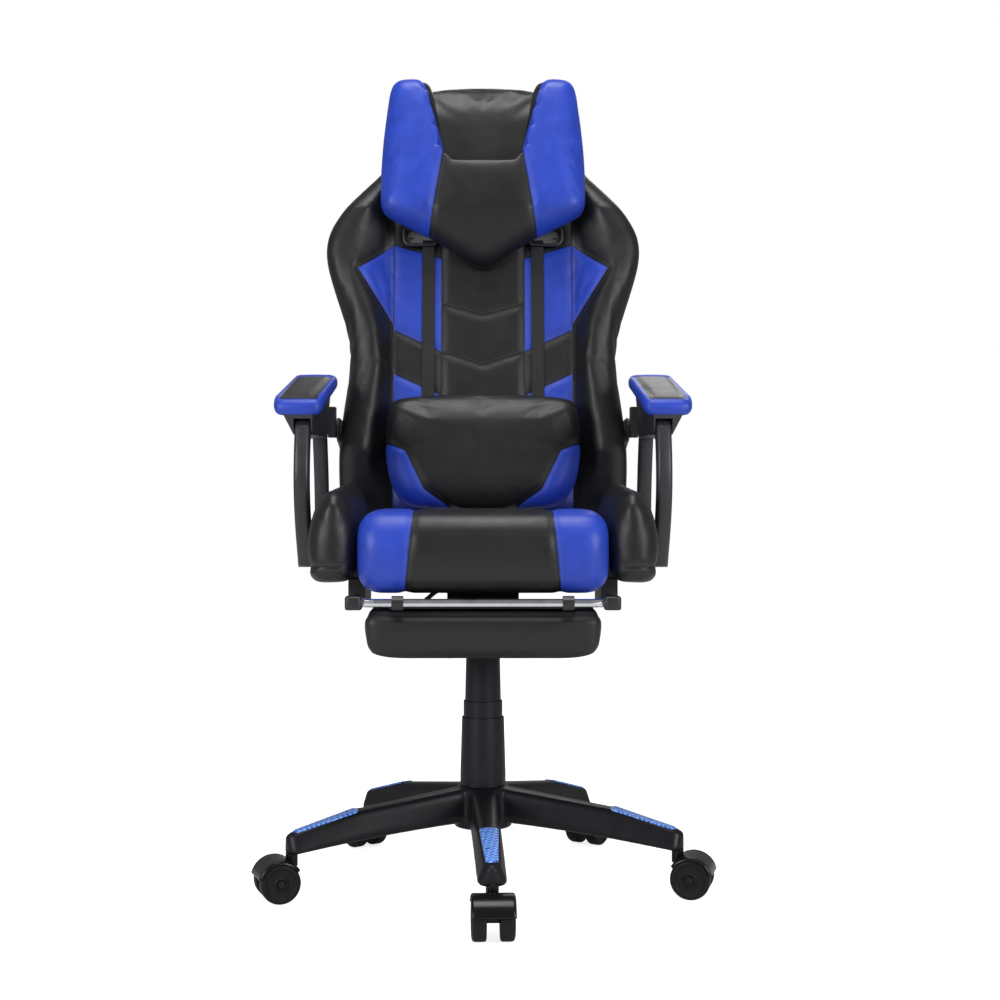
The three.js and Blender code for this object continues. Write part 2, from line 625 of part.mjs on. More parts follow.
// The recliner plate: bored for the recline pin, and held to the end of the back frame's cross tube.
function reclinerPlate() {
  const [inner, outer] = [bracketInner - 8.2, bracketInner - 4.2];
  const outline = rounded([[-18, -18], [18, -18], [32, 50], [26, 78], [0, 78], [-12, 50]], 12);
  return cut(sideways(outline, inner, outer), across(8.6, inner - 1, outer + 1, 0, 0));
}

// The bracket on the back's side with the pin that carries the arm rest.
function armBracket() {
  const lean = THREE.MathUtils.degToRad(backLean);
  const y = linkLean * Math.cos(lean) - linkRise * Math.sin(lean);
  const z = linkLean * Math.sin(lean) + linkRise * Math.cos(lean);
  const [inner, outer] = [Math.max(...sideLine.slice(0, 3).map(([x]) => x)) - 2.5, bracketInner - 9];
  const outline = rounded([[y - 14, z - 18], [y + 70, z - 26], [y + 70, z + 26], [y - 14, z + 18]], 12);
  return join(sideways(outline, inner, outer), across(6, inner, legInner - 1, y, z));
}

function headPillow() {
  const half = [[0, 449], [91, 508], [172, 548], [166, 660], [154, 768], [88, 768], [70, 670], [52, 630]]
    .map(([x, z]) => [x * slabHalf / 150, z]);
  const mirrored = half.slice(1).reverse().map(([x, z]) => [-x, z]);
  return frontways(rounded([...half, ...mirrored], 16), slabFront - 78, slabFront - 4, 14);
}

function lumbarCushion() {
  const half = slabHalf + 9;
  const outline = rounded([[-half, 50], [half, 50], [half, 228], [-half, 228]], 45);
  return frontways(outline, slabFront - 88, slabFront - 4, 22);
}

piece(back, 'back_frame', backFrame(), steel);
piece(back, 'back_cushion', backCushion(), leather);
piece(back, 'back_bolster_left', backBolster(), leather);
piece(back, 'back_bolster_right', mirrorX(backBolster()), leather);
piece(back, 'back_shell', backShell(), leather);
piece(back, 'head_pillow', headPillow(), blueLeather);
piece(back, 'lumbar_cushion', lumbarCushion(), leather);
piece(back, 'recliner_plate_left', reclinerPlate(), steel);
piece(back, 'recliner_plate_right', mirrorX(reclinerPlate()), steel);
piece(back, 'arm_bracket_left', armBracket(), black);
piece(back, 'arm_bracket_right', mirrorX(armBracket()), black);

// ---- Arm rests ----------------------------------------------------------------------------------
// Heights above the seat frame's underside again. The legs stay parallel to the line from the
// recline pin to the arm pivot, so the carrier keeps its slope as the back reclines.
const padCentre = { x: legMiddle + 6, y: armPivot.y - 160, z: armPivot.z + 53 };
const padUnder = padThick / 2;
const slope = THREE.MathUtils.degToRad(padSlope);
const upperPivot = (lower) => ({ y: lower.y + linkLean, z: lower.z + linkRise });

// A leg between its two pivots, bowed by the given distance.
function armLeg(lower, bow) {
  const upper = upperPivot(lower);
  const middle = new THREE.Vector3(legMiddle, (lower.y + upper.y) / 2 + bow, (lower.z + upper.z) / 2 + 10);
  const path = new THREE.CatmullRomCurve3([new THREE.Vector3(legMiddle, lower.y, lower.z), middle,
    new THREE.Vector3(legMiddle, upper.y, upper.z)]);
  const [w, t] = [legWidth / 2, legThick / 2];
  const section = rounded([[-w, -t], [w, -t], [w, t], [-w, t]], 3);
  const options = { steps: 6, extrudePath: path, bevelEnabled: false, curveSegments: 1 };
  const [inner, outer] = [legInner, legInner + legWidth];
  const bar = solid(new THREE.ExtrudeGeometry(section, options));
  const eyes = [lower, upper].map((p) => across(p === lower ? 14 : 12, inner, outer, p.y, p.z, 16));
  const bores = [lower, upper].map((p) => across(6 + runGap, inner - 1, outer + 1, p.y, p.z, 12));
  return cut(join(bar, ...eyes), ...bores);
}

// The moulded carrier under the pad: broad on top, narrow below, slotted for both legs.
function armCarrier() {
  const along = padLength / 2 - 3;
  const topAt = (y) => padCentre.z + (y - padCentre.y) * Math.tan(slope) - (padUnder + 1) / Math.cos(slope);
  const floor = upperPivot(frontPivot).z - 10;
  const bar = new THREE.BoxGeometry(1, 1, 1, 4, 4, 1);
  const body = solid(moved(bar, (p) => {
    const upper = p.z > 0;
    const y = padCentre.y + (upper ? along : along - 14) * 2 * p.y * Math.cos(slope);
    const half = (upper ? 30 : 18) * (1 - 0.25 * (2 * p.y) ** 4);
    p.set((upper ? padCentre.x : legMiddle) + 2 * half * p.x, y, upper ? topAt(y) : floor);
  }));
  const ear = join(across(14, legInner - 13, legInner - 1.5, armPivot.y, armPivot.z, 20),
    block(legInner - 13, legInner - 1.5, armPivot.y - 34, armPivot.y, armPivot.z - 14, armPivot.z + 36));
  const slots = [frontPivot, rearPivot].map((lower) => {
    const { y, z } = upperPivot(lower);
    return block(legInner - 0.8, legInner + legWidth + 0.8, y - 26, y + 26, floor - 5, z + 13.2);
  });
  const pins = [frontPivot, rearPivot].map((lower) => {
    const { y, z } = upperPivot(lower);
    return across(6, legInner - 4, legInner + legWidth + 4, y, z);
  });
  const bore = across(6 + runGap, legInner - 14, legInner, armPivot.y, armPivot.z);
  return cut(join(cut(join(body, ear), ...slots), ...pins), bore);
}

function armPad() {
  const outline = rounded([[-padWidth / 2, -padLength / 2], [padWidth / 2, -padLength / 2],
    [padWidth / 2, padLength / 2], [-padWidth / 2, padLength / 2]], 30);
  return solid(extruded(outline, padThick, 8).translate(0, 0, -padThick / 2));
}

for (const [name, side] of [['left', 1], ['right', -1]]) {
  const handed = (body) => (side > 0 ? body : mirrorX(body));
  piece(seat, `arm_leg_front_${name}`, handed(armLeg(frontPivot, -34)), plastic);
  piece(seat, `arm_leg_rear_${name}`, handed(armLeg(rearPivot, 14)), plastic);
  piece(seat, `arm_carrier_${name}`, handed(armCarrier()), plastic);
  const rest = new THREE.Group();
  rest.position.set(side * padCentre.x, padCentre.y, padCentre.z);
  rest.rotation.x = slope;
  seat.add(rest);
  piece(rest, `arm_pad_${name}`, armPad(), blueLeather);
}

// ---- Origin: middle of the whole chair's footprint, on the floor -------------------------------------
chair.updateMatrixWorld(true);
const extent = new THREE.Box3().setFromObject(chair, true);
chair.position.set(-(extent.min.x + extent.max.x) / 2, -(extent.min.y + extent.max.y) / 2, -extent.min.z);

export default chair;
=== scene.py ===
"""Gaming chair: upholstered bucket back and seat on a gas lift, with linked arm rests and a footrest."""
import json
import math

import bmesh
import bpy
import numpy as np
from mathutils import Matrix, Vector
from mathutils.bvhtree import BVHTree


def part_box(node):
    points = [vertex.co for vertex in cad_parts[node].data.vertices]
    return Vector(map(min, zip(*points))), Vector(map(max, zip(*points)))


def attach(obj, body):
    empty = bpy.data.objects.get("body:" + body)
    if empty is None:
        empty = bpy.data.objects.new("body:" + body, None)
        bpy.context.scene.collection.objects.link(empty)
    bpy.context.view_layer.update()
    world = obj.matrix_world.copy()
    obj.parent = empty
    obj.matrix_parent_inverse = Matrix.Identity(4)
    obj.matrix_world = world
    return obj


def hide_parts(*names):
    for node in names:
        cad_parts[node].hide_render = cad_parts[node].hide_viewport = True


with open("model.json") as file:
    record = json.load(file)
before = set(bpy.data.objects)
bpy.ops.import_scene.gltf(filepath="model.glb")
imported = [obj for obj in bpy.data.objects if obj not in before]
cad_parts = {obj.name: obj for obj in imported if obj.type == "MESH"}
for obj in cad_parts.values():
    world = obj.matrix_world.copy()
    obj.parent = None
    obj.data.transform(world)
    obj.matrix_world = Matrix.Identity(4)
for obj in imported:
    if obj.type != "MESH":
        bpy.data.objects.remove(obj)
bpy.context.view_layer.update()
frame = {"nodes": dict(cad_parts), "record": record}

scene = bpy.context.scene

# ---------------------------------------------------------------------------------------------
# Studio: a white floor that runs into a white surround, a wide soft light overhead, one at each
# side of the front and a weaker one behind, and a long lens at seat height.
# ---------------------------------------------------------------------------------------------
column_x, column_y = np.mean(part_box("gas_cylinder"), axis=0)[:2]

camera = bpy.data.objects.new("camera", bpy.data.cameras.new("camera"))
scene.collection.objects.link(camera)
CAMERA_DISTANCE, CAMERA_HEIGHT = 2.5, 0.615
camera.location = (column_x, column_y - CAMERA_DISTANCE, CAMERA_HEIGHT)
camera.rotation_euler = (math.radians(90), 0, 0)
camera.data.lens = 58.07
camera.data.sensor_width = 36
camera.data.shift_x = 0.017
camera.data.shift_y = -0.015
scene.camera = camera


def node_material(name):
    """A new material, its node tree and its Principled shader."""
    material = bpy.data.materials.new(name)
    material.use_nodes = True
    tree = material.node_tree
    return material, tree, tree.nodes["Principled BSDF"]


def made(tree, kind, **inputs):
    """A node of the kind given, its inputs set from values or sockets. In an input's name an
    underscore stands for a space."""
    node = tree.nodes.new("ShaderNode" + kind)
    for name, value in inputs.items():
        socket = node.inputs[name.replace("_", " ")]
        if isinstance(value, (int, float, tuple)):
            socket.default_value = value
        else:
            tree.links.new(value, socket)
    return node


def glowing(tree, unseen, seen):
    """A strength that is one number to the camera and another to the light that reaches the chair."""
    camera_ray = tree.nodes.new("ShaderNodeLightPath").outputs["Is Camera Ray"]
    return made(tree, "MapRange", Value=camera_ray, To_Min=unseen, To_Max=seen).outputs["Result"]


floor_material, tree, shader = node_material("studio_floor")
shader.inputs["Base Color"].default_value = (0.8, 0.8, 0.8, 1)
shader.inputs["Roughness"].default_value = 0.7
shader.inputs["Emission Color"].default_value = (1, 1, 1, 1)
tree.links.new(glowing(tree, 0.05, 0.82), shader.inputs["Emission Strength"])
floor_mesh = bpy.data.meshes.new("studio_floor")
floor_mesh.from_pydata([(-40, -40, 0), (40, -40, 0), (40, 40, 0), (-40, 40, 0)], [], [(0, 1, 2, 3)])
floor_mesh.materials.append(floor_material)
floor = bpy.data.objects.new("studio_floor", floor_mesh)
scene.collection.objects.link(floor)

world = bpy.data.worlds.new("studio")
scene.world = world
world.use_nodes = True
surround = world.node_tree.nodes["Background"]
surround.inputs["Color"].default_value = (1, 1, 1, 1)
world.node_tree.links.new(glowing(world.node_tree, 0.24, 1.0), surround.inputs["Strength"])
scene.view_settings.view_transform = "Standard"
CHAIR_MIDDLE = Vector((0, 0, 0.7))


def soft_light(name, place, size, power):
    """A square area light that looks at the middle of the chair."""
    data = bpy.data.lights.new(name, "AREA")
    data.size = size
    data.energy = power
    lamp = bpy.data.objects.new(name, data)
    scene.collection.objects.link(lamp)
    lamp.location = place
    lamp.rotation_euler = (CHAIR_MIDDLE - Vector(place)).to_track_quat("-Z", "Y").to_euler()


soft_light("overhead", (0.0, -0.6, 3.2), 1.4, 52)
soft_light("front_left", (-2.1, -2.3, 1.3), 0.9, 40)
soft_light("front_right", (2.1, -2.3, 1.3), 0.9, 40)
soft_light("behind", (0.4, 2.6, 2.4), 1.5, 16)

# ---------------------------------------------------------------------------------------------
# Seat insert: coated fabric over moulded foam, rolled down over the frame's front edge. Three
# panels are sewn together, blue at the sides and black between, and the foam pushes them out.
# ---------------------------------------------------------------------------------------------


def math_node(tree, operation, *values):
    """A Math node whose inputs are numbers or sockets."""
    node = tree.nodes.new("ShaderNodeMath")
    node.operation = operation
    for socket, value in zip(node.inputs, values):
        if isinstance(value, (int, float)):
            socket.default_value = value
        else:
            tree.links.new(value, socket)
    return node.outputs[0]


ARRAY_STEPS = {"MULTIPLY_ADD": lambda a, b, c: a * b + c, "MINIMUM": np.minimum,
               "MAXIMUM": np.maximum, "ABSOLUTE": np.abs}


def work(operation, first, *others):
    """One step of a measure, on an array of points or as a Math node, so that a cover's cut is
    worked out in one way for its mesh and for its material."""
    if isinstance(first, np.ndarray):
        return ARRAY_STEPS[operation](first, *others)
    return math_node(first.id_data, operation, first, *others)


def shifted(measure, offset, factor=1.0):
    """measure * factor + offset."""
    return work("MULTIPLY_ADD", measure, factor, offset)


def beside(a, b, start, end):
    """How far a point lies to the left of the line from start to end."""
    length = math.dist(start, end)
    normal = ((start[1] - end[1]) / length, (end[0] - start[0]) / length)
    offset = -start[0] * normal[0] - start[1] * normal[1]
    return work("MULTIPLY_ADD", b, normal[1], work("MULTIPLY_ADD", a, normal[0], offset))


def within(a, b, *corners):
    """How far a point lies inside a convex outline, given anticlockwise: the least distance to
    the left of its sides."""
    inside = beside(a, b, corners[-1], corners[0])
    for start, end in zip(corners, corners[1:]):
        inside = work("MINIMUM", inside, beside(a, b, start, end))
    return inside


def off_seam(a, b, start, end):
    """The distance to a straight seam: the greater of that to its line and that past its ends."""
    length = math.dist(start, end)
    middle = ((start[0] + end[0]) / 2, (start[1] + end[1]) / 2)
    turned = (middle[0] + start[1] - end[1], middle[1] + end[0] - start[0])
    across = work("ABSOLUTE", beside(a, b, start, end))
    past = shifted(work("ABSOLUTE", beside(a, b, middle, turned)), -length / 2)
    return work("MAXIMUM", across, past)


def nearest(*distances):
    """The least of several distances."""
    least = distances[0]
    for distance in distances[1:]:
        least = work("MINIMUM", least, distance)
    return least


def farthest(*distances):
    """The greatest of several distances."""
    greatest = distances[0]
    for distance in distances[1:]:
        greatest = work("MAXIMUM", greatest, distance)
    return greatest


def frame_at(origin, lean):
    """Two functions, into and out of a frame at the origin that is turned about X by the lean in
    degrees: own y = y cos - z sin and own z = y sin + z cos, both from the origin."""
    c, s = math.cos(math.radians(lean)), math.sin(math.radians(lean))

    def into(x, y, z):
        level = -origin[1] * c + origin[2] * s
        upright = -origin[1] * s - origin[2] * c
        return (shifted(x, -origin[0]),
                work("MULTIPLY_ADD", z, -s, work("MULTIPLY_ADD", y, c, level)),
                work("MULTIPLY_ADD", z, c, work("MULTIPLY_ADD", y, s, upright)))

    def out(points):
        x, y, z = points.T
        return np.stack([origin[0] + x, origin[1] + y * c + z * s, origin[2] - y * s + z * c], axis=1)

    return into, out


def skin(name, grid, looped=False):
    """A closed surface from an array of rings, (rings, points, 3), joined ring to ring. Its last
    ring is joined to the first where it is looped, and else its two ends are filled."""
    rings, around = grid.shape[:2]
    i, j = np.meshgrid(np.arange(rings - (not looped)), np.arange(around), indexing="ij")
    following, k = (i + 1) % rings, (j + 1) % around
    corners = [i * around + j, i * around + k, following * around + k, following * around + j]
    faces = np.stack(corners, axis=-1).reshape(-1, 4).tolist()
    if not looped:
        faces.append(list(range(around))[::-1])
        faces.append(list(range((rings - 1) * around, rings * around)))
    mesh = bpy.data.meshes.new(name)
    mesh.from_pydata(grid.reshape(-1, 3).tolist(), [], faces)
    shape = bmesh.new()
    shape.from_mesh(mesh)
    bmesh.ops.recalc_face_normals(shape, faces=shape.faces)
    shape.to_mesh(mesh)
    shape.free()
    mesh.polygons.foreach_set("use_smooth", [True] * len(mesh.polygons))
    piece = bpy.data.objects.new(name, mesh)
    scene.collection.objects.link(piece)
    return piece


def outlined(points, radius, steps=6):
    """A closed outline with its corners rounded: each becomes a quadratic curve between points
    at the radius along its two sides, or at 0.45 of a side that is shorter."""
    corners = np.array(points, float)
    before = np.roll(corners, 1, axis=0) - corners
    after = np.roll(corners, -1, axis=0) - corners
    length_before = np.linalg.norm(before, axis=1)[:, None]
    length_after = np.linalg.norm(after, axis=1)[:, None]
    start = corners + before * np.minimum(radius / length_before, 0.45)
    end = corners + after * np.minimum(radius / length_after, 0.45)
    t = np.linspace(0, 1, steps)[None, :, None]
    curve = (1 - t) ** 2 * start[:, None] + 2 * t * (1 - t) * corners[:, None] + t**2 * end[:, None]
    return curve.reshape(-1, 2)


def slab(name, outline, low, high, edge, place, rings=5):
    """A closed slab: the outline is carried from low to high, drawn in at both ends along a
    quarter circle of the edge radius. place turns (u, v, depth) into x, y, z."""
    after = np.roll(outline, -1, axis=0) - outline
    before = outline - np.roll(outline, 1, axis=0)
    tangent = after / np.maximum(np.linalg.norm(after, axis=1), 1e-9)[:, None]
    tangent = tangent + before / np.maximum(np.linalg.norm(before, axis=1), 1e-9)[:, None]
    tangent /= np.maximum(np.linalg.norm(tangent, axis=1), 1e-9)[:, None]
    following = np.roll(outline, -1, axis=0)
    area = np.sum(outline[:, 0] * following[:, 1] - following[:, 0] * outline[:, 1])
    inward = np.stack([-tangent[:, 1], tangent[:, 0]], axis=1) * np.sign(area)
    angle = np.linspace(0, math.pi / 2, rings)
    inset = np.concatenate([edge * (1 - np.sin(angle)), (edge * (1 - np.sin(angle)))[::-1]])
    depth = np.concatenate([low + edge * (1 - np.cos(angle)), (high - edge * (1 - np.cos(angle)))[::-1]])
    loops = outline[None] + inward[None] * inset[:, None, None]
    deep = np.broadcast_to(depth[:, None, None], (len(depth), len(outline), 1))
    points = place(np.concatenate([loops, deep], axis=2).reshape(-1, 3))
    return skin(name, points.reshape(len(depth), len(outline), 3))


def coordinates(mesh, layer="co"):
    """All of a mesh's points, or their normals, as an (n, 3) array."""
    flat = np.empty(len(mesh.vertices) * 3)
    mesh.vertices.foreach_get(layer, flat)
    return flat.reshape(-1, 3)


def place_points(piece, points):
    """Moves a mesh's points to the places given."""
    piece.data.vertices.foreach_set("co", points.ravel())
    piece.data.update()


def settle(piece):
    """Applies every modifier of a piece."""
    graph = bpy.context.evaluated_depsgraph_get()
    mesh = bpy.data.meshes.new_from_object(piece.evaluated_get(graph))
    piece.modifiers.clear()
    old = piece.data
    piece.data = mesh
    bpy.data.meshes.remove(old)


def evened(piece, spacing, rounds=3):
    """The piece as an even skin of small squares at the given spacing, with the steps that this
    leaves averaged away."""
    remesh = piece.modifiers.new("even", "REMESH")
    remesh.mode = "VOXEL"
    remesh.voxel_size = spacing
    remesh.use_smooth_shade = True
    smooth = piece.modifiers.new("relax", "SMOOTH")
    smooth.factor = 0.5
    smooth.iterations = rounds
    settle(piece)


def blown(piece, held, cap, pressure=4.0, frames=14):
    """Swells a closed skin as foam does under a tight cover. held marks the points that seams or
    boards hold back, and no point moves further than the cap."""
    start = coordinates(piece.data)
    group = piece.vertex_groups.new(name="seams")
    group.add(np.flatnonzero(held).tolist(), 1.0, "REPLACE")
    cover = piece.modifiers.new("cover", "CLOTH")
    settings = cover.settings
    settings.quality = 3
    settings.mass = 0.3
    settings.tension_stiffness = 18
    settings.compression_stiffness = 18
    settings.shear_stiffness = 8
    settings.bending_stiffness = 1.5
    settings.use_pressure = True
    settings.uniform_pressure_force = pressure
    settings.vertex_group_mass = "seams"
    settings.effector_weights.gravity = 0
    cover.collision_settings.use_collision = False
    cover.point_cache.frame_start = 1
    cover.point_cache.frame_end = frames
    for step in range(1, frames + 1):
        scene.frame_set(step)
    settle(piece)
    scene.frame_set(1)
    piece.vertex_groups.clear()
    moved = coordinates(piece.data) - start
    length = np.linalg.norm(moved, axis=1)
    limit = cap * np.tanh(length / cap) / np.maximum(length, 1e-9)
    place_points(piece, start + moved * limit[:, None])


def finish(piece, body, slot_name, material, *nodes):
    """A finished piece: its material, the body it rides on and the nodes it stands for. slot_name is not used."""
    piece.data.materials.clear()
    piece.data.materials.append(material)
    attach(piece, body)
    if nodes:
        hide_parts(*nodes)


SEAM_DRAW, SEAM_REACH = 0.003, 0.005   # how deep a seam pulls the skin in, and how far from it


def upholster(piece, body, nodes, slot_name, material, into, cut, cap, held, spacing=0.0055,
              form=None):
    """The steps that each padded piece goes through: an even skin, which a form function may bend,
    foam pressure held at the seams, the skin drawn in along them by the draw * exp(-(distance / reach)^2),
    and one subdivision."""
    evened(piece, spacing)
    if form:
        place_points(piece, form(coordinates(piece.data)))
    seam = cut(*into(*coordinates(piece.data).T))[1]
    blown(piece, (seam < 0.75 * spacing) | held(coordinates(piece.data)), cap)
    seam = cut(*into(*coordinates(piece.data).T))[1]
    drawn = SEAM_DRAW * np.exp(-((seam / SEAM_REACH) ** 2))
    place_points(piece, coordinates(piece.data) - coordinates(piece.data, "normal") * drawn[:, None])
    finer = piece.modifiers.new("finer", "SUBSURF")
    finer.levels = finer.render_levels = 1
    finish(piece, body, slot_name, material, *nodes)


def effect_group(name, inputs, outputs):
    """An empty shader node group with named number inputs and outputs."""
    group = bpy.data.node_groups.new(name, "ShaderNodeTree")
    for label, value in inputs.items():
        group.interface.new_socket(label, in_out="INPUT", socket_type="NodeSocketFloat").default_value = value
    for label in outputs:
        group.interface.new_socket(label, in_out="OUTPUT", socket_type="NodeSocketFloat")
    return group, group.nodes.new("NodeGroupInput").outputs, group.nodes.new("NodeGroupOutput").inputs


def own_place(tree):
    """A piece's own coordinates, in metres."""
    return tree.nodes.new("ShaderNodeTexCoord").outputs["Object"]


def noise(tree, scale, detail=3, distortion=0.0):
    """Noise over a piece's own coordinates, scale per metre."""
    return made(tree, "TexNoise", Vector=own_place(tree), Scale=scale, Detail=detail,
                Distortion=distortion).outputs["Fac"]


def grain_group():
    """Pebbled leather grain: cells a millimetre across with soft edges, a finer tooth on them and
    broad faint creases. Height feeds a bump and Wear is the broad change of tone."""
    group, given, out = effect_group("leather_grain", {"Cells": 900.0}, ("Height", "Wear"))
    cells = made(group, "TexVoronoi", Vector=own_place(group), Scale=given["Cells"])
    cells.feature = "DISTANCE_TO_EDGE"
    pebble = math_node(group, "MINIMUM", cells.outputs["Distance"], 0.18)
    crease = noise(group, 24, 4, 1.2)
    height = math_node(group, "MULTIPLY_ADD", noise(group, 2600), 0.12, pebble)
    height = math_node(group, "MULTIPLY_ADD", crease, 0.6, height)
    group.links.new(height, out["Height"])
    group.links.new(crease, out["Wear"])
    return group


leather_grain = grain_group()


def colour_mix(tree, share, first, second, blend="MIX"):
    """A colour Mix node between two colours or sockets."""
    node = tree.nodes.new("ShaderNodeMix")
    node.data_type = "RGBA"
    node.blend_type = blend
    pairs = ((node.inputs[0], share), (node.inputs[6], first), (node.inputs[7], second))
    for socket, value in pairs:
        if isinstance(value, (int, float, tuple)):
            socket.default_value = value
        else:
            tree.links.new(value, socket)
    return node.outputs[2]


def grey(tree, value):
    """A grey colour of a number's strength."""
    node = tree.nodes.new("ShaderNodeCombineColor")
    for channel in node.inputs:
        tree.links.new(value, channel)
    return node.outputs[0]


def placed(tree, group):
    """A node that places an effect group in a material."""
    node = tree.nodes.new("ShaderNodeGroup")
    node.node_tree = group
    return node


def toned(tree, colour, tone):
    """A colour or socket times a number that changes over the surface."""
    return colour_mix(tree, 1.0, colour, grey(tree, tone), "MULTIPLY")


def raised(tree, shader, height, strength, distance):
    """Feeds a height to the shader's normal through a bump."""
    bump = made(tree, "Bump", Height=height, Strength=strength, Distance=distance)
    tree.links.new(bump.outputs["Normal"], shader.inputs["Normal"])


LEATHER_BLACK = (0.0085, 0.0085, 0.0095, 1)
LEATHER_BLUE = (0.016, 0.049, 0.41, 1)


def upholstery(name, into, cut, roughness=0.40):
    """Coated fabric. Blue shows where the cut's panel measure is above zero, each seam is a dark
    groove 1.5 mm wide, and a row of stitches 3 mm long runs 4 mm to each side of it."""
    material, tree, shader = node_material(name)
    grain = placed(tree, leather_grain)
    place = made(tree, "SeparateXYZ", Vector=own_place(tree))
    panel, seam = cut(*into(*place.outputs))
    colour = colour_mix(tree, math_node(tree, "GREATER_THAN", panel, 0.0), LEATHER_BLACK, LEATHER_BLUE)
    worn = math_node(tree, "MULTIPLY_ADD", grain.outputs["Wear"], 0.55, 0.72)
    colour = toned(tree, colour, worn)
    groove = made(tree, "MapRange", Value=seam, From_Min=0.0004, From_Max=0.0016, To_Min=0.85,
                  To_Max=0.0).outputs["Result"]
    colour = colour_mix(tree, groove, colour, (0.003, 0.003, 0.004, 1))
    row = math_node(tree, "LESS_THAN", math_node(tree, "ABSOLUTE", math_node(
        tree, "SUBTRACT", seam, 0.004)), 0.0005)
    along = math_node(tree, "ADD", place.outputs[2], math_node(tree, "ADD", place.outputs[1], math_node(
        tree, "ABSOLUTE", place.outputs[0])))
    dash = math_node(tree, "LESS_THAN", math_node(tree, "FRACT", math_node(
        tree, "MULTIPLY", along, 240.0)), 0.7)
    stitch = math_node(tree, "MULTIPLY", row, dash)
    colour = colour_mix(tree, math_node(tree, "MULTIPLY", stitch, 0.10), colour, (0.3, 0.3, 0.33, 1))
    tree.links.new(colour, shader.inputs["Base Color"])
    rough = math_node(tree, "MULTIPLY_ADD", grain.outputs["Wear"], 0.2, roughness - 0.1)
    tree.links.new(rough, shader.inputs["Roughness"])
    height = math_node(tree, "MULTIPLY_ADD", groove, -1.4, grain.outputs["Height"])
    shader.inputs["Specular IOR Level"].default_value = 0.4
    raised(tree, shader, math_node(tree, "MULTIPLY_ADD", stitch, 1.0, height), 0.3, 0.0006)
    return material


seat_low, seat_high = np.array(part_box("seat_cushion"))
SEAT_PANEL = 0.097            # half the black panel's width
seat_middle = ((seat_low[0] + seat_high[0]) / 2, seat_low[1], seat_low[2])
seat_depth, seat_thick = (seat_high - seat_low)[1:]
seat_half = (seat_high[0] - seat_low[0]) / 2
seat_into, seat_out = frame_at(seat_middle, 0)


def seat_cut(x, y, z):
    """Blue outside the black panel, which widens downwards by 0.1 of its height, with the seams
    on its two edges."""
    panel = shifted(work("MULTIPLY_ADD", z, 0.1, work("ABSOLUTE", x)), -SEAT_PANEL - 0.1 * seat_thick)
    return panel, work("ABSOLUTE", panel)


# The side outline, (y, z) from the front lower corner: up a full front roll, back along a top
# that falls a little, and forward again over the frame.
seat_outline = outlined([
    (0.006, 0.004), (-0.003, 0.046), (0.000, 0.082), (0.022, seat_thick + 0.001),
    (0.080, seat_thick + 0.003), (0.190, seat_thick - 0.008), (seat_depth - 0.004, seat_thick - 0.024),
    (seat_depth - 0.004, 0.038), (0.075, 0.036), (0.066, 0.002), (0.036, -0.009)], 0.024)
seat_cover = slab("seat_cover", seat_outline, 0.002 - seat_half, seat_half - 0.002, 0.030,
                  lambda p: seat_out(p[:, [2, 0, 1]]))
seat_leather = upholstery("seat_leather", seat_into, seat_cut)
upholster(seat_cover, "seat", ["seat_cushion"], "blue_upholstery", seat_leather, seat_into, seat_cut,
          cap=0.016,
          held=lambda p: (p[:, 2] < seat_low[2] + 0.041) & (p[:, 1] > seat_low[1] + 0.060))

# ---------------------------------------------------------------------------------------------
# Seat bolsters: firm foam walls in the same black cover, one each side of the insert, that fall
# towards the front and are pulled down over the steel frame by a sewn skirt.
# ---------------------------------------------------------------------------------------------


ALL_BLACK = -1.0              # a panel measure that is nowhere above zero


def bolster_cut(x, y, z):
    """All black. One seam runs round the front and the outside, where the skirt is sewn on."""
    outside = work("ABSOLUTE", x)
    skirt = work("MAXIMUM", work("ABSOLUTE", shifted(z, -0.014)), shifted(outside, 0.020, -1.0))
    return shifted(outside, ALL_BLACK), skirt


SIDES = (("left", 1), ("right", -1))
for side, sign in SIDES:
    low, high = np.array(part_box(f"seat_bolster_{side}"))
    width, depth, height = high - low
    inner = low[0] if sign > 0 else high[0]
    bolster_into, bolster_out = frame_at((inner, low[1], low[2]), 0)
    outline = outlined([(0.002, -0.008), (0.001, 0.060), (0.014, height - 0.020), (0.030, height),
                        (width - 0.024, height), (width - 0.008, height - 0.030),
                        (width + 0.001, 0.060), (width - 0.004, -0.010)], 0.020)
    outline[:, 0] *= sign
    bolster = slab(f"seat_bolster_cover_{side}", outline, 0.001, depth - 0.004, 0.030,
                   lambda p: bolster_out(p[:, [0, 2, 1]]))

    def falling(points):
        """The crest falls by 14 mm over the front 240 mm."""
        forward = np.clip(1 - (points[:, 1] - low[1]) / 0.24, 0, 1) ** 1.5
        rise = np.clip((points[:, 2] - low[2]) / height, 0, 1)
        return points - np.stack([sign * 0.006 * forward * rise, 0 * rise, 0.014 * forward * rise], axis=1)

    leather = upholstery(f"bolster_leather_{side}", bolster_into, bolster_cut)
    upholster(bolster, "seat", [f"seat_bolster_{side}"], "black_upholstery", leather, bolster_into,
              bolster_cut, cap=0.008, held=lambda p: p[:, 2] < low[2] - 0.002,
              spacing=0.006, form=falling)

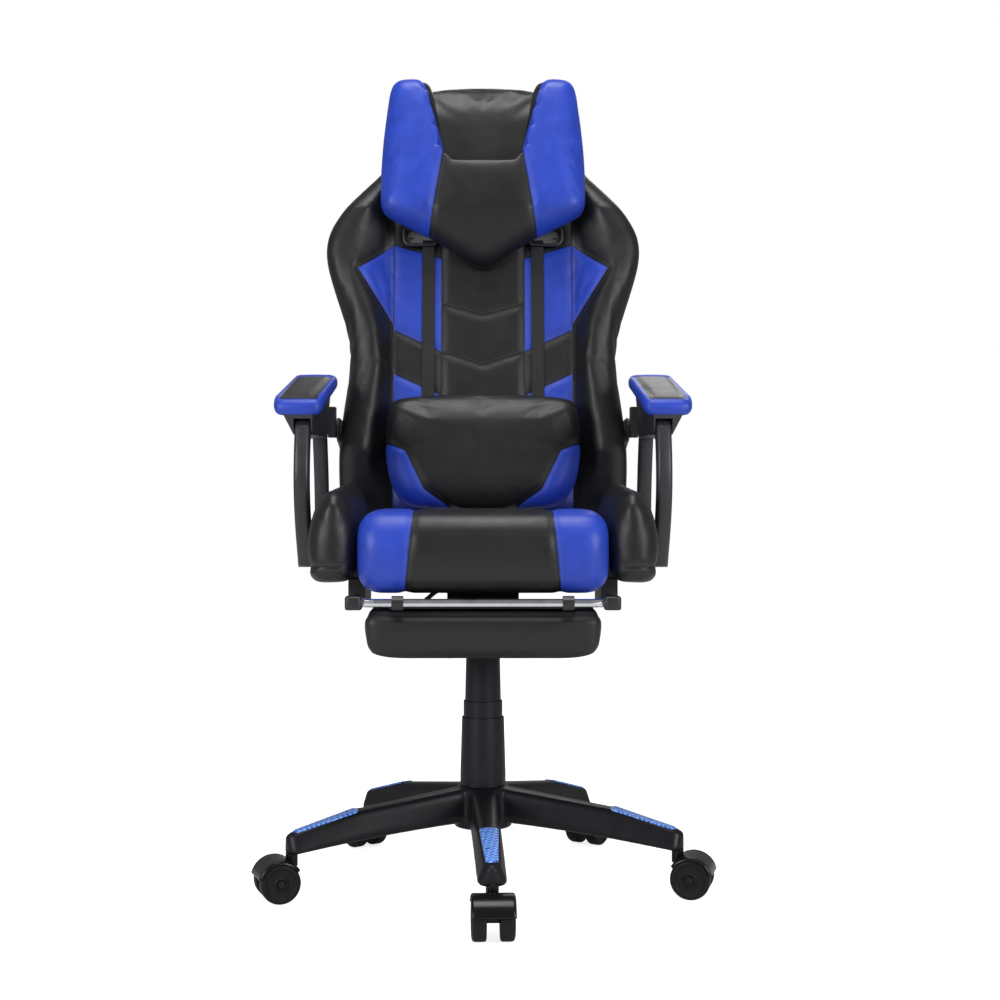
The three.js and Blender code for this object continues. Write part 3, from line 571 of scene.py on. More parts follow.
# ---------------------------------------------------------------------------------------------
# Back: one bucket of moulded foam on a tube frame, covered in black fabric with blue panels let
# in beside the middle. Its wings stand forward, and two lined slots pass a belt or a strap.
# ---------------------------------------------------------------------------------------------
joints = {joint["name"]: joint for joint in frame["record"]["behaviour"]["joints"]}
BACK_LEAN = 8
recline_axis = joints["recline"]["pos_m"]
back_into, back_out = frame_at(recline_axis, BACK_LEAN)
MIDDLE_HALF = 0.150           # from the centre line to the seam beside each wing
RIBBON_SEAM = 0.069           # to the inner edge of the blue panels
SLAB_FRONT, SHELL_REAR = -0.062, 0.034
SLOT_X, SLOT_Z = 0.105, 0.519
SLOT_HALF_WIDTH, SLOT_HALF_HEIGHT = 0.025, 0.015
WING_RISE = 0.042
back_top = (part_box("back_shell")[1][2] - recline_axis[2]) / math.cos(math.radians(BACK_LEAN)) + 0.003


def on_back(points):
    """Points given across, up and forward of the recline axis, along the back, as x, y, z."""
    return back_out(points[:, [0, 2, 1]])


def mirrored(half):
    """An outline's right half, from the bottom up, and its mirror image back down."""
    return half + [(-x, z) for x, z in half[::-1]]


def back_cut(x, y, z):
    """Blue in a panel each side of the middle, in the foot below it and in a gusset on each wing.
    Seams run round these, beside the wings, in two chevrons and round the back's edge."""
    a = work("ABSOLUTE", x)
    panel = within(a, z, (RIBBON_SEAM, 0.320), (MIDDLE_HALF, 0.358), (MIDDLE_HALF, 0.505),
                   (RIBBON_SEAM, 0.482))
    foot = within(a, z, (RIBBON_SEAM, 0.010), (MIDDLE_HALF, 0.010), (MIDDLE_HALF, 0.284),
                  (RIBBON_SEAM, 0.247))
    gusset = within(a, z, (MIDDLE_HALF, 0.366), (0.208, 0.455), (MIDDLE_HALF, 0.505))
    blue = farthest(panel, foot, gusset)
    edges = nearest(*(work("ABSOLUTE", field) for field in (panel, foot, gusset)))
    wing = off_seam(a, z, (MIDDLE_HALF, 0.030), (MIDDLE_HALF, 0.560))
    ribbon = off_seam(a, z, (RIBBON_SEAM, 0.030), (RIBBON_SEAM, 0.600))
    upper = off_seam(a, z, (0.0, 0.383), (RIBBON_SEAM, 0.402))
    lower = off_seam(a, z, (0.0, 0.298), (RIBBON_SEAM, 0.320))
    front = shifted(y, 0.030)
    seams = work("MAXIMUM", nearest(edges, wing, ribbon, upper, lower), front)
    edge = work("ABSOLUTE", shifted(y, 0.014))
    return work("MINIMUM", blue, shifted(front, 0.0, -1.0)), work("MINIMUM", seams, edge)


side_line = [(0.150, 0.018), (0.236, 0.030), (0.239, 0.131), (0.231, 0.195), (0.214, 0.290),
             (0.221, 0.360), (0.256, 0.445), (0.265, 0.489), (0.257, 0.525), (0.229, 0.567),
             (0.174, 0.632), (0.150, 0.668), (0.146, 0.755), (0.126, back_top - 0.014), (0.064, back_top)]
back_cover = slab("back_cover", outlined(mirrored(side_line), 0.045), SLAB_FRONT + 0.003,
                  SHELL_REAR - 0.002, 0.022, on_back)


def slot_outline(sign, inset=0.0):
    """The rounded outline of the slot on one side, drawn in by the inset."""
    near, far = (sign * (SLOT_X + end * (SLOT_HALF_WIDTH - inset)) for end in (-1, 1))
    low, high = (SLOT_Z + end * (SLOT_HALF_HEIGHT - inset) for end in (-1, 1))
    return outlined([(near, low), (far, low), (far, high), (near, high)], 0.010)


for sign in (-1, 1):
    cutter = slab("slot_cutter", slot_outline(sign), -0.15, 0.10, 0.001, on_back)
    boolean = back_cover.modifiers.new("slot", "BOOLEAN")
    boolean.operation = "DIFFERENCE"
    boolean.object = cutter
    boolean.solver = "EXACT"
    settle(back_cover)
    bpy.data.objects.remove(cutter)
evened(back_cover, 0.006, 1)


def side_at(z):
    """The back's half width at a height."""
    heights = [point[1] for point in side_line]
    return np.interp(z, heights, [point[0] for point in side_line])


def winged(x, y, z):
    """The wings: the front stands forward by the rise * s(t), where t goes from 0 beside the seam to
    1 at 38 mm inside the edge and s(t) = t * t * (3 - 2 t). They die away up to the head."""
    outer = side_at(z)
    reach = np.clip((np.abs(x) - MIDDLE_HALF + 0.004) / np.maximum(outer - MIDDLE_HALF - 0.034, 0.020), 0, 1)
    reach = reach**2 * (3 - 2 * reach)
    height = np.clip((z - 0.060) / 0.09, 0, 1) * np.clip((0.660 - z) / 0.10, 0, 1)
    share = np.clip((SHELL_REAR - 0.030 - y) / 0.050, 0, 1)
    return WING_RISE * reach * height * share


own = np.stack(back_into(*coordinates(back_cover.data).T), axis=1)
own[:, 1] -= winged(*own.T)
place_points(back_cover, back_out(own))
back_leather = upholstery("back_leather", back_into, back_cut, 0.42)


def back_held(points):
    """What the board behind and the slots' linings hold still: the rear face and the slots."""
    x, y, z = back_into(*points.T)
    at_slot = (np.abs(np.abs(x) - SLOT_X) < SLOT_HALF_WIDTH + 0.007) & (
        np.abs(z - SLOT_Z) < SLOT_HALF_HEIGHT + 0.007)
    return (y > SHELL_REAR - 0.012) | at_slot


upholster(back_cover, "back", ["back_cushion", "back_bolster_left", "back_bolster_right", "back_shell"],
          "black_upholstery", back_leather, back_into, back_cut, cap=0.010, held=back_held,
          spacing=0.0062)

# Slot linings: a moulded black plastic ring pressed into each face of the back.


def plastic_group():
    """Moulded plastic: a fine spark-eroded tooth, faint flow marks and a slight haze where hands
    and shoes rub it. Height feeds a bump, Haze the roughness and Tone the colour."""
    group, given, out = effect_group("moulded_plastic", {"Tooth": 1400.0}, ("Height", "Haze", "Tone"))
    flow = noise(group, 9, 2, 2.5)
    rubbed = noise(group, 60, 5)
    group.links.new(noise(group, given["Tooth"], 2), out["Height"])
    group.links.new(math_node(group, "MULTIPLY", rubbed, flow), out["Haze"])
    group.links.new(flow, out["Tone"])
    return group


moulded = plastic_group()


def plastic(name, colour, roughness, tooth=1400.0, depth=0.12, gloss=0.5):
    """A moulded part's material: its colour, toned by the flow marks and hazed by rubbing."""
    material, tree, shader = node_material(name)
    effect = placed(tree, moulded)
    effect.inputs["Tooth"].default_value = tooth
    tone = math_node(tree, "MULTIPLY_ADD", effect.outputs["Tone"], 0.5, 0.75)
    tree.links.new(toned(tree, colour, tone), shader.inputs["Base Color"])
    rough = math_node(tree, "MULTIPLY_ADD", effect.outputs["Haze"], 0.35, roughness - 0.06)
    tree.links.new(rough, shader.inputs["Roughness"])
    shader.inputs["Specular IOR Level"].default_value = gloss
    raised(tree, shader, effect.outputs["Height"], depth, 0.0003)
    return material


trim_plastic = plastic("trim_plastic", (0.014, 0.014, 0.016, 1), 0.38)


def lined_ring(name, outline, width, front, rear):
    """A ring round an outline: its section is a lip of the given width on each face, joined by a
    thin wall through the opening."""
    centre = outline.mean(axis=0)
    out = outline - centre
    out /= np.linalg.norm(out, axis=1)[:, None]
    section = np.array([[0.0, front], [0.001, front - 0.0025], [width - 0.002, front - 0.0025],
                        [width, front], [width, front + 0.004], [0.0015, front + 0.006],
                        [0.0015, rear - 0.006], [width, rear - 0.004], [width, rear],
                        [width - 0.002, rear + 0.002], [0.001, rear + 0.002], [0.0, rear]])
    grid = np.concatenate([outline[:, None] + out[:, None] * section[None, :, :1],
                           np.broadcast_to(section[None, :, 1:], (len(outline), len(section), 1))], axis=2)
    return skin(name, on_back(grid.reshape(-1, 3)).reshape(grid.shape), looped=True)


for side, sign in SIDES:
    ring = lined_ring(f"slot_lining_{side}", slot_outline(sign, 0.001), 0.0075, SLAB_FRONT - 0.006,
                      SHELL_REAR + 0.001)
    finish(ring, "back", "black_plastic", trim_plastic)

# ---------------------------------------------------------------------------------------------
# Lumbar cushion: a loose fibre pillow, black with a blue lower corner each side, sewn round its
# edge and hung on two webbing straps that come through the slots and down the front.
# ---------------------------------------------------------------------------------------------


def lumbar_cut(x, y, z):
    """Blue in the two lower corners of the front, under a line that falls from the side to the
    bottom, with a seam on that line and one round the edge at mid thickness."""
    a = work("ABSOLUTE", x)
    under_top = beside(a, z, (0.159, 0.156), (0.124, 0.140))
    right_of = beside(a, z, (0.124, 0.140), (0.094, 0.078))
    below = beside(a, z, (0.094, 0.078), (0.046, 0.046))
    corner = work("MINIMUM", under_top, work("MAXIMUM", right_of, below))
    panel = work("MINIMUM", corner, shifted(y, -0.104, -1.0))
    edge = work("ABSOLUTE", shifted(y, 0.104))
    return panel, work("MINIMUM", work("ABSOLUTE", panel), edge)


lumbar_side = [(0.040, 0.046), (0.128, 0.052), (0.152, 0.090), (0.160, 0.140), (0.159, 0.204),
               (0.148, 0.231), (0.060, 0.237)]
lumbar = slab("lumbar_cover", outlined(mirrored(lumbar_side), 0.030), -0.146, -0.068, 0.036, on_back)
lumbar_leather = upholstery("lumbar_leather", back_into, lumbar_cut, 0.42)
upholster(lumbar, "back", ["lumbar_cushion"], "black_upholstery", lumbar_leather, back_into, lumbar_cut,
          cap=0.014, held=lambda p: np.abs(back_into(*p.T)[1] + 0.104) < 0.004,
          spacing=0.005)

# ---------------------------------------------------------------------------------------------
# Head pillow: a firm foam pillow with a notch at the top and a point below, blue on its two
# wings and black between and inside the notch. An elastic band holds it round the head of the back.
# ---------------------------------------------------------------------------------------------


def pillow_cut(x, y, z):
    """Blue outside two lines: one spreads down to the point's corners, the other up beside the
    notch. A seam follows them, and another runs round the edge near the rear."""
    a = work("ABSOLUTE", x)
    lower = beside(a, z, (0.064, 0.655), (0.090, 0.500))
    upper = beside(a, z, (0.101, 0.775), (0.064, 0.655))
    panel = nearest(lower, upper, shifted(y, -0.082, -1.0))
    edge = work("ABSOLUTE", shifted(y, 0.082))
    return panel, work("MINIMUM", work("ABSOLUTE", panel), edge)


pillow_side = [(0.091, 0.507), (0.171, 0.546), (0.166, 0.660), (0.155, 0.762), (0.140, 0.775), (0.100, 0.776),
               (0.085, 0.762), (0.071, 0.690), (0.060, 0.642), (0.044, 0.631)]
pillow_outline = outlined([(0.0, 0.452)] + mirrored(pillow_side), 0.020)
pillow = slab("pillow_cover", pillow_outline, -0.137, -0.069, 0.026, on_back)
pillow_leather = upholstery("pillow_leather", back_into, pillow_cut, 0.38)


def chinned(points):
    """Below its corners the front slopes back to the point, by 0.4 of the drop."""
    x, y, z = back_into(*points.T)
    drop = np.clip(0.548 - z, 0, 1) * np.clip((-0.075 - y) / 0.030, 0, 1)
    return back_out(np.stack([x, y + 0.40 * drop, z], axis=1))


upholster(pillow, "back", ["head_pillow"], "blue_upholstery", pillow_leather, back_into, pillow_cut,
          cap=0.010, held=lambda p: back_into(*p.T)[1] > -0.073, spacing=0.0048,
          form=chinned)

# ---------------------------------------------------------------------------------------------
# Straps: black webbing 21 mm wide. Two hang the lumbar cushion from the slots, over the front of
# the back, and one elastic band each side carries the head pillow round the head of the back.
# ---------------------------------------------------------------------------------------------
STRAP_WIDTH, STRAP_THICKNESS = 0.0207, 0.0018
STRAP_PLACE = 0.0915


def webbing(name):
    """Woven webbing: two crossed waves for the warp and the weft, a millimetre and a half apart,
    on the strap's own map, which runs across in U and along in V, in metres."""
    material, tree, shader = node_material(name)
    place = tree.nodes.new("ShaderNodeUVMap").outputs[0]
    waves = []
    for direction, scale in (("X", 330.0), ("Y", 210.0)):
        wave = made(tree, "TexWave", Vector=place, Scale=scale)
        wave.bands_direction = direction
        waves.append(wave.outputs["Fac"])
    weave = math_node(tree, "MULTIPLY", *waves)
    fibre = noise(tree, 1500, 2)
    tone = math_node(tree, "MULTIPLY_ADD", weave, 0.5, math_node(tree, "MULTIPLY_ADD", fibre, 0.5, 0.4))
    tree.links.new(toned(tree, (0.014, 0.014, 0.016, 1), tone), shader.inputs["Base Color"])
    tree.links.new(math_node(tree, "MULTIPLY_ADD", fibre, 0.2, 0.62), shader.inputs["Roughness"])
    raised(tree, shader, weave, 0.6, 0.0005)
    return material


strap_webbing = webbing("strap_webbing")


def mapped(piece, where):
    """Gives a piece its own flat map from one (u, v) for each point."""
    corner = np.empty(len(piece.data.loops), int)
    piece.data.loops.foreach_get("vertex_index", corner)
    piece.data.uv_layers.new(name="flat").data.foreach_set("uv", where[corner].ravel())


def strap(name, path, across):
    """A flat strap along a path of points: a rounded section of the strap's width, along the
    across direction, and of its thickness, along the path's normal."""
    tangent = np.gradient(path, axis=0)
    tangent /= np.linalg.norm(tangent, axis=1)[:, None]
    across = np.array(across, float)
    normal = np.cross(tangent, across)
    half, thin = STRAP_WIDTH / 2, STRAP_THICKNESS / 2
    section = outlined([(-half, -thin), (half, -thin), (half, thin), (-half, thin)], 0.0008, 4)
    grid = path[:, None] + section[None, :, :1] * across + section[None, :, 1:] * normal[:, None]
    piece = skin(name, grid)
    length = np.concatenate([[0], np.cumsum(np.linalg.norm(np.diff(path, axis=0), axis=1))])
    where = np.stack([np.tile(section[:, 0], len(path)), np.repeat(length, len(section))], axis=1)
    mapped(piece, where)
    return piece


graph = bpy.context.evaluated_depsgraph_get()
back_skin = BVHTree.FromObject(back_cover, graph)
into_back = Vector(back_out(np.array([[0, 1.0, 0]]))[0] - np.array(recline_axis))


def front_of(surface, x, z):
    """Own y of a surface's front, met by a ray from ahead at own x and z."""
    start = Vector(back_out(np.array([[x, -0.4, z]]))[0])
    met = surface.ray_cast(start, into_back)[0]
    return None if met is None else back_into(*np.array(met)[:, None])[1][0]


def eased(values, rounds=12):
    """A row of depths, each replaced in turn by the mean of itself and its neighbours, and never
    behind where it started."""
    depths = np.array(values)
    for _ in range(rounds):
        middle = (depths[:-2] + 2 * depths[1:-1] + depths[2:]) / 4
        depths[1:-1] = np.minimum(middle, values[1:-1])
    return depths


for side, sign in SIDES:
    heights = np.linspace(0.5065, 0.196, 64)
    depths = [front_of(back_skin, sign * STRAP_PLACE, z) for z in heights]
    depths = eased(np.array([SLAB_FRONT if depth is None else depth for depth in depths]) - 0.0022)
    entry = np.array([[sign * STRAP_PLACE, -0.020, 0.512], [sign * STRAP_PLACE, -0.045, 0.512],
                      [sign * STRAP_PLACE, -0.060, 0.5115]])
    run = np.stack([np.full(len(heights), sign * STRAP_PLACE), depths, heights], axis=1)
    piece = strap(f"lumbar_strap_{side}", back_out(np.concatenate([entry, run])), (1, 0, 0))
    finish(piece, "back", "black_plastic", strap_webbing)

# The pillow's band runs level round the rear of the back's head.
around = np.linspace(-0.1, math.pi + 0.1, 60)
band_height = 0.700
band = np.stack([0.1485 * np.sign(np.cos(around)) * np.abs(np.cos(around)) ** 0.35,
                 -0.062 + 0.1005 * np.sign(np.sin(around)) * np.abs(np.sin(around)) ** 0.35,
                 np.full(len(around), band_height)], axis=1)
up_back = back_out(np.array([[0, 0, 1.0]]))[0] - np.array(recline_axis)
pillow_band = strap("pillow_band", back_out(band), up_back)
finish(pillow_band, "back", "black_plastic", strap_webbing)

# ---------------------------------------------------------------------------------------------
# Arm rests: a foam pad on a moulded carrier, blue at the rim and black on top, held level by two
# bowed plastic legs that hinge on the seat frame, so that it follows the back as this reclines.
# ---------------------------------------------------------------------------------------------
PAD_SLOPE = -10
arm_plastic = plastic("arm_plastic", (0.022, 0.022, 0.027, 1), 0.36)


def pad_cut(x, y, z):
    """Blue outside the long black top panel, with a seam round it."""
    panel = farthest(shifted(work("ABSOLUTE", x), -0.027),
                     shifted(work("ABSOLUTE", shifted(y, 0.006)), -0.118), shifted(z, 0.002, -1.0))
    return panel, work("ABSOLUTE", panel)


def refinish(material, *nodes):
    """Gives CAD nodes that keep their own shape a better material."""
    for node in nodes:
        for place in frame["nodes"][node].material_slots:
            place.material = material


def squared(wave, power):
    """sign(wave) * |wave| ^ power: a sine or cosine that squares off a round section."""
    return np.sign(wave) * np.abs(wave) ** power


def carried(name, path, across, section):
    """A section carried along a flat path: across runs to its side, and the other way of the
    section lies along the path's normal. The section may change from ring to ring."""
    tangent = np.gradient(path, axis=0)
    tangent /= np.linalg.norm(tangent, axis=1)[:, None]
    normal = np.cross(tangent, across)
    section = np.broadcast_to(section, (len(path),) + section.shape[-2:])
    grid = path[:, None] + section[..., :1] * np.array(across, float) + section[..., 1:] * normal[:, None]
    return skin(name, grid)


for side, sign in SIDES:
    low, high = np.array(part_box(f"arm_pad_{side}"))
    pad_into, pad_out = frame_at((low + high) / 2, PAD_SLOPE)
    pad_outline = outlined([(-0.038, -0.128), (-0.030, -0.142), (0.030, -0.142), (0.038, -0.128),
                            (0.037, 0.132), (0.028, 0.140), (-0.028, 0.140), (-0.037, 0.132)], 0.024)
    pad = slab(f"arm_pad_cover_{side}", pad_outline, -0.0125, 0.0135, 0.011, lambda p: pad_out(p))
    own = np.stack(pad_into(*coordinates(pad.data).T), axis=1)
    own[:, 2] -= 0.010 * np.clip((-own[:, 1] - 0.07) / 0.07, 0, 1) ** 2
    place_points(pad, pad_out(own))
    pad_leather = upholstery(f"pad_leather_{side}", pad_into, pad_cut, 0.40)
    upholster(pad, f"arm_rest_{side}", [f"arm_pad_{side}"], "arm_padding", pad_leather, pad_into, pad_cut,
              cap=0.005, held=lambda p: pad_into(*p.T)[2] < -0.008, spacing=0.0036)

    refinish(arm_plastic, f"arm_carrier_{side}")

    for leg in ("front", "rear"):
        low, high = np.array(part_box(f"arm_leg_{leg}_{side}"))
        hinge = np.array(joints[f"arm_leg_{leg}_{side}_swing"]["pos_m"])
        rise = high[2] - 0.012 - hinge[2]
        bow = -0.034 if leg == "front" else 0.014
        shift = -0.040
        middle = (low[0] + high[0]) / 2
        t = np.linspace(-0.07, 1.06, 48)
        inside = np.clip(t, 0, 1)
        path = np.stack([np.full(len(t), middle), hinge[1] + shift * t + bow * np.sin(math.pi * inside),
                         hinge[2] + rise * t], axis=1)
        ends = np.sqrt(np.clip(1 - np.clip((np.abs(t - 0.495) - 0.500) / 0.065, 0, 1) ** 2, 0.02, 1))
        flare = 0.0025 if leg == "front" else 0.0
        half = (0.0118 + flare * np.abs(2 * inside - 1) ** 2) * ends
        angle = np.linspace(0, 2 * math.pi, 40, endpoint=False)
        round_u = 0.0118 * squared(np.cos(angle), 0.45)
        round_v = squared(np.sin(angle), 0.6)
        section = np.stack([np.broadcast_to(round_u, (len(t), 40)), half[:, None] * round_v[None]], axis=2)
        piece = carried(f"arm_leg_shell_{leg}_{side}", path, (1, 0, 0), section)
        finish(piece, f"arm_leg_{leg}_{side}", "arm_plastic", arm_plastic, f"arm_leg_{leg}_{side}")

# ---------------------------------------------------------------------------------------------
# Footrest: a padded board that hangs face down under the seat on a bent chrome tube. It is pulled
# out by the tube's front bar and turned over. A plastic block closes each corner of the bar.
# ---------------------------------------------------------------------------------------------
rest_low, rest_high = np.array(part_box("footrest_pad"))
rest_into, rest_out = frame_at((rest_low + rest_high) / 2, 0)
rest_width, rest_depth, rest_thick = (rest_high - rest_low) / 2


def rest_cut(x, y, z):
    """All black, with one seam round the edge where the cover meets the board's lining."""
    edge = work("ABSOLUTE", shifted(z, -rest_thick + 0.010))
    return shifted(edge, ALL_BLACK), edge


rest_outline = outlined([(0.002 - rest_width, 0.001 - rest_thick), (rest_width - 0.002, 0.001 - rest_thick),
                         (rest_width + 0.002, rest_thick - 0.001),
                         (-rest_width - 0.002, rest_thick - 0.001)], 0.018)
footrest = slab("footrest_cover", rest_outline, -rest_depth + 0.002, rest_depth - 0.003, 0.014,
                lambda p: rest_out(p[:, [0, 2, 1]]))
rest_leather = upholstery("footrest_leather", rest_into, rest_cut, 0.46)
upholster(footrest, "footrest_board", ["footrest_pad"], "black_upholstery", rest_leather, rest_into,
          rest_cut, cap=0.006, held=lambda p: p[:, 2] > rest_high[2] - 0.012)


def metal_group():
    """Drawn and plated steel: fine scratches in two directions and a broad mottle of fingermarks.
    Scratch feeds a bump and Smear the roughness."""
    group, given, out = effect_group("worn_metal", {"Fineness": 300.0}, ("Scratch", "Smear"))
    stretch = made(group, "Mapping", Vector=own_place(group), Scale=(1.0, 0.08, 0.6))
    lines = made(group, "TexNoise", Vector=stretch.outputs["Vector"], Scale=given["Fineness"], Detail=4)
    group.links.new(lines.outputs["Fac"], out["Scratch"])
    group.links.new(noise(group, 35, 4, 0.6), out["Smear"])
    return group


worn_metal = metal_group()


def metal(name, colour, roughness, metallic=1.0, depth=0.08):
    """Plated or painted steel, smeared and finely scratched."""
    material, tree, shader = node_material(name)
    effect = placed(tree, worn_metal)
    tone = math_node(tree, "MULTIPLY_ADD", effect.outputs["Smear"], 0.3, 0.85)
    tree.links.new(toned(tree, colour, tone), shader.inputs["Base Color"])
    shader.inputs["Metallic"].default_value = metallic
    rough = math_node(tree, "MULTIPLY_ADD", effect.outputs["Smear"], 0.25, roughness - 0.1)
    tree.links.new(rough, shader.inputs["Roughness"])
    raised(tree, shader, effect.outputs["Scratch"], depth, 0.0002)
    return material


chrome = metal("chrome_plate", (0.62, 0.63, 0.66, 1), 0.2)
painted = metal("painted_steel", (0.012, 0.012, 0.013, 1), 0.42, metallic=0.0, depth=0.15)
refinish(chrome, "gas_cylinder", "piston_rod", "release_pin", "footrest_tube")
refinish(painted, "footrest_hinge", "footrest_guide_left", "footrest_guide_right", "seat_frame", "seat_plate",
         "side_bracket_left", "side_bracket_right", "back_frame", "recliner_plate_left",
         "recliner_plate_right", "arm_bracket_left", "arm_bracket_right", "mechanism_housing",
         "tension_spring", "lever_saddle", "height_lever", "recline_lever")
refinish(trim_plastic, "tension_knob", "gas_standpipe")

bar_low, bar_high = np.array(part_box("footrest_tube"))
for side, sign in SIDES:
    edge = bar_high[0] if sign > 0 else bar_low[0]
    corner_out = frame_at((edge, bar_low[1] + 0.006, (bar_low[2] + bar_high[2]) / 2), 0)[1]
    shape = outlined([(-0.020, -0.010), (0.0035, -0.010), (0.0035, 0.018), (-0.020, 0.010)], 0.006)
    shape[:, 0] *= sign
    block = slab(f"footrest_corner_{side}", shape, -0.0095, 0.0095, 0.003, lambda p: corner_out(p))
    finish(block, "footrest_slide", "black_plastic", trim_plastic)

# ---------------------------------------------------------------------------------------------
# Gas column covers: three sleeves of moulded black plastic that slide one inside the next. They
# hang loose round the gas lift, and the lowest stands in the base's hub.
# ---------------------------------------------------------------------------------------------


def turned(name, profile, centre, axis=(0, 0, 1), steps=64):
    """A closed turned solid: the profile, pairs of radius and distance along the axis, is swept
    round the axis through the centre."""
    axis = np.array(axis, float)
    aside = np.cross(axis, (0.0, 0.0, 1.0) if abs(axis[2]) < 0.9 else (1.0, 0.0, 0.0))
    aside /= np.linalg.norm(aside)
    other = np.cross(axis, aside)
    angle = np.linspace(0, 2 * math.pi, steps, endpoint=False)
    profile = np.array(profile)
    spoke = np.cos(angle)[:, None] * aside + np.sin(angle)[:, None] * other
    rings = np.array(centre) + profile[None, :, :1] * spoke[:, None] + profile[None, :, 1:] * axis
    return skin(name, rings, looped=True)


def joined(first, *others):
    """Adds the other pieces' meshes to the first's, and removes those pieces."""
    shape = bmesh.new()
    for part in (first, *others):
        shape.from_mesh(part.data)
    shape.to_mesh(first.data)
    shape.free()
    for part in others:
        bpy.data.objects.remove(part)


column_plastic = plastic("column_plastic", (0.010, 0.009, 0.014, 1), 0.42, tooth=900, depth=0.2, gloss=0.22)
COVER_WALL, COVER_EDGE = 0.0017, 0.0012
for node, body, upper, shoulder in (("lower_cover", "base", 0.0325, 0.020),
                                    ("mid_cover", "middle_cover", 0.0301, 0.050),
                                    ("upper_cover", "lift", 0.0245, 0.020)):
    low, high = np.array(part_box(node))
    outer = (high[0] - low[0]) / 2
    tall = high[2] - low[2]
    outline = outlined([(outer, 0), (outer, shoulder), (upper, tall - 0.0001), (upper - COVER_WALL, tall),
                        (outer - COVER_WALL, shoulder), (outer - COVER_WALL, 0.0)], COVER_EDGE, 4)
    cover = turned(f"{node}_shell", outline, (column_x, column_y, low[2]))
    finish(cover, body, "column_plastic", column_plastic, node)

# ---------------------------------------------------------------------------------------------
# Five-star base: injection-moulded nylon, with arms that arch down from a round hub. Each arm's
# outer end carries a blue insert with a scale pattern, pressed into its top.
# ---------------------------------------------------------------------------------------------
base_plastic = plastic("base_plastic", (0.009, 0.008, 0.011, 1), 0.34, tooth=1100, depth=0.15, gloss=0.22)
stems = []
for number in range(1, 6):
    stems.append(np.array(joints[f"caster_{number}_swivel"]["pos_m"])[:2] - (column_x, column_y))
ARM_END, HUB = 0.308, 0.042


def arm_top(r):
    """The arm's ridge height: level at the hub, falling by 23 mm to r = 206 mm, then by 28 mm."""
    fall = 0.023 * np.clip((r - HUB) / 0.164, 0, 1) + 0.028 * np.maximum(0, (r - 0.206) / 0.102)
    return 0.149 - fall


def arm_under(r):
    """The arm's underside: it rises by 24 mm from the tip to the hub's foot and is slightly arched."""
    return 0.066 + 0.024 * np.clip((0.316 - r) / 0.230, 0, 1.2) + 0.004 * np.sin(
        math.pi * np.minimum(1, r / 0.316))


def arm_ridge(r):
    """Half the width of the arm's top, narrowing outwards by 8.7 mm."""
    return 0.020 - 0.0087 * np.maximum(0, (r - HUB) / 0.266)


hub = turned("star_base_shell", outlined([(0.0255, 0.088), (0.045, 0.088), (0.045, 0.095), (0.042, 0.147),
                                          (0.038, 0.151), (0.0255, 0.151)], 0.003, 4),
             (column_x, column_y, 0))
arms = []
angle = np.linspace(0, 2 * math.pi, 48, endpoint=False)
across, upward = squared(np.cos(angle), 0.45), squared(np.sin(angle), 0.45)
r = np.linspace(0.030, ARM_END + 0.004, 60)[:, None]
ends = np.sqrt(np.clip(1 - np.clip((r - ARM_END + 0.012) / 0.0165, 0, 1) ** 2, 0.02, 1))
half = arm_ridge(r) + (0.0245 - arm_ridge(r)) * ((1 - upward) / 2) ** 1.3
middle, tall = (arm_top(r) + arm_under(r)) / 2, (arm_top(r) - arm_under(r)) / 2
sideways = across * half * ends
lifted = middle + upward * tall * (0.75 + 0.25 * ends)
for stem in stems:
    outward = stem / np.linalg.norm(stem)
    beyond = np.array([-outward[1], outward[0]])
    flat = r[..., None] * outward + sideways[..., None] * beyond + (column_x, column_y)
    arms.append(skin("arm", np.concatenate([flat, lifted[..., None]], axis=2)))
joined(hub, *arms)
evened(hub, 0.0026, 6)
finish(hub, "base", "base_plastic", base_plastic, "star_base")


def insert_material():
    """Blue film with a lighter pattern of scales: slanted rows of cells, every second row moved
    by half a cell."""
    material, tree, shader = node_material("insert_film")
    place = tree.nodes.new("ShaderNodeUVMap").outputs[0]
    skewed = made(tree, "Mapping", Vector=place, Rotation=(0, 0, math.radians(32)))
    cells = made(tree, "TexBrick", Vector=skewed.outputs["Vector"], Scale=75, Mortar_Size=0.10,
                 Mortar_Smooth=0.4, Brick_Width=0.8, Row_Height=0.42, Color1=(0.02, 0.10, 0.55, 1),
                 Color2=(0.03, 0.17, 0.70, 1), Mortar=(0.25, 0.45, 0.95, 1))
    bend = made(tree, "TexNoise", Vector=place, Scale=90)
    tone = math_node(tree, "MULTIPLY_ADD", bend.outputs["Fac"], 0.4, 0.8)
    tree.links.new(toned(tree, cells.outputs["Color"], tone), shader.inputs["Base Color"])
    tree.links.new(math_node(tree, "MULTIPLY_ADD", bend.outputs["Fac"], 0.2, 0.2), shader.inputs["Roughness"])
    raised(tree, shader, cells.outputs["Fac"], 0.3, 0.0004)
    return material


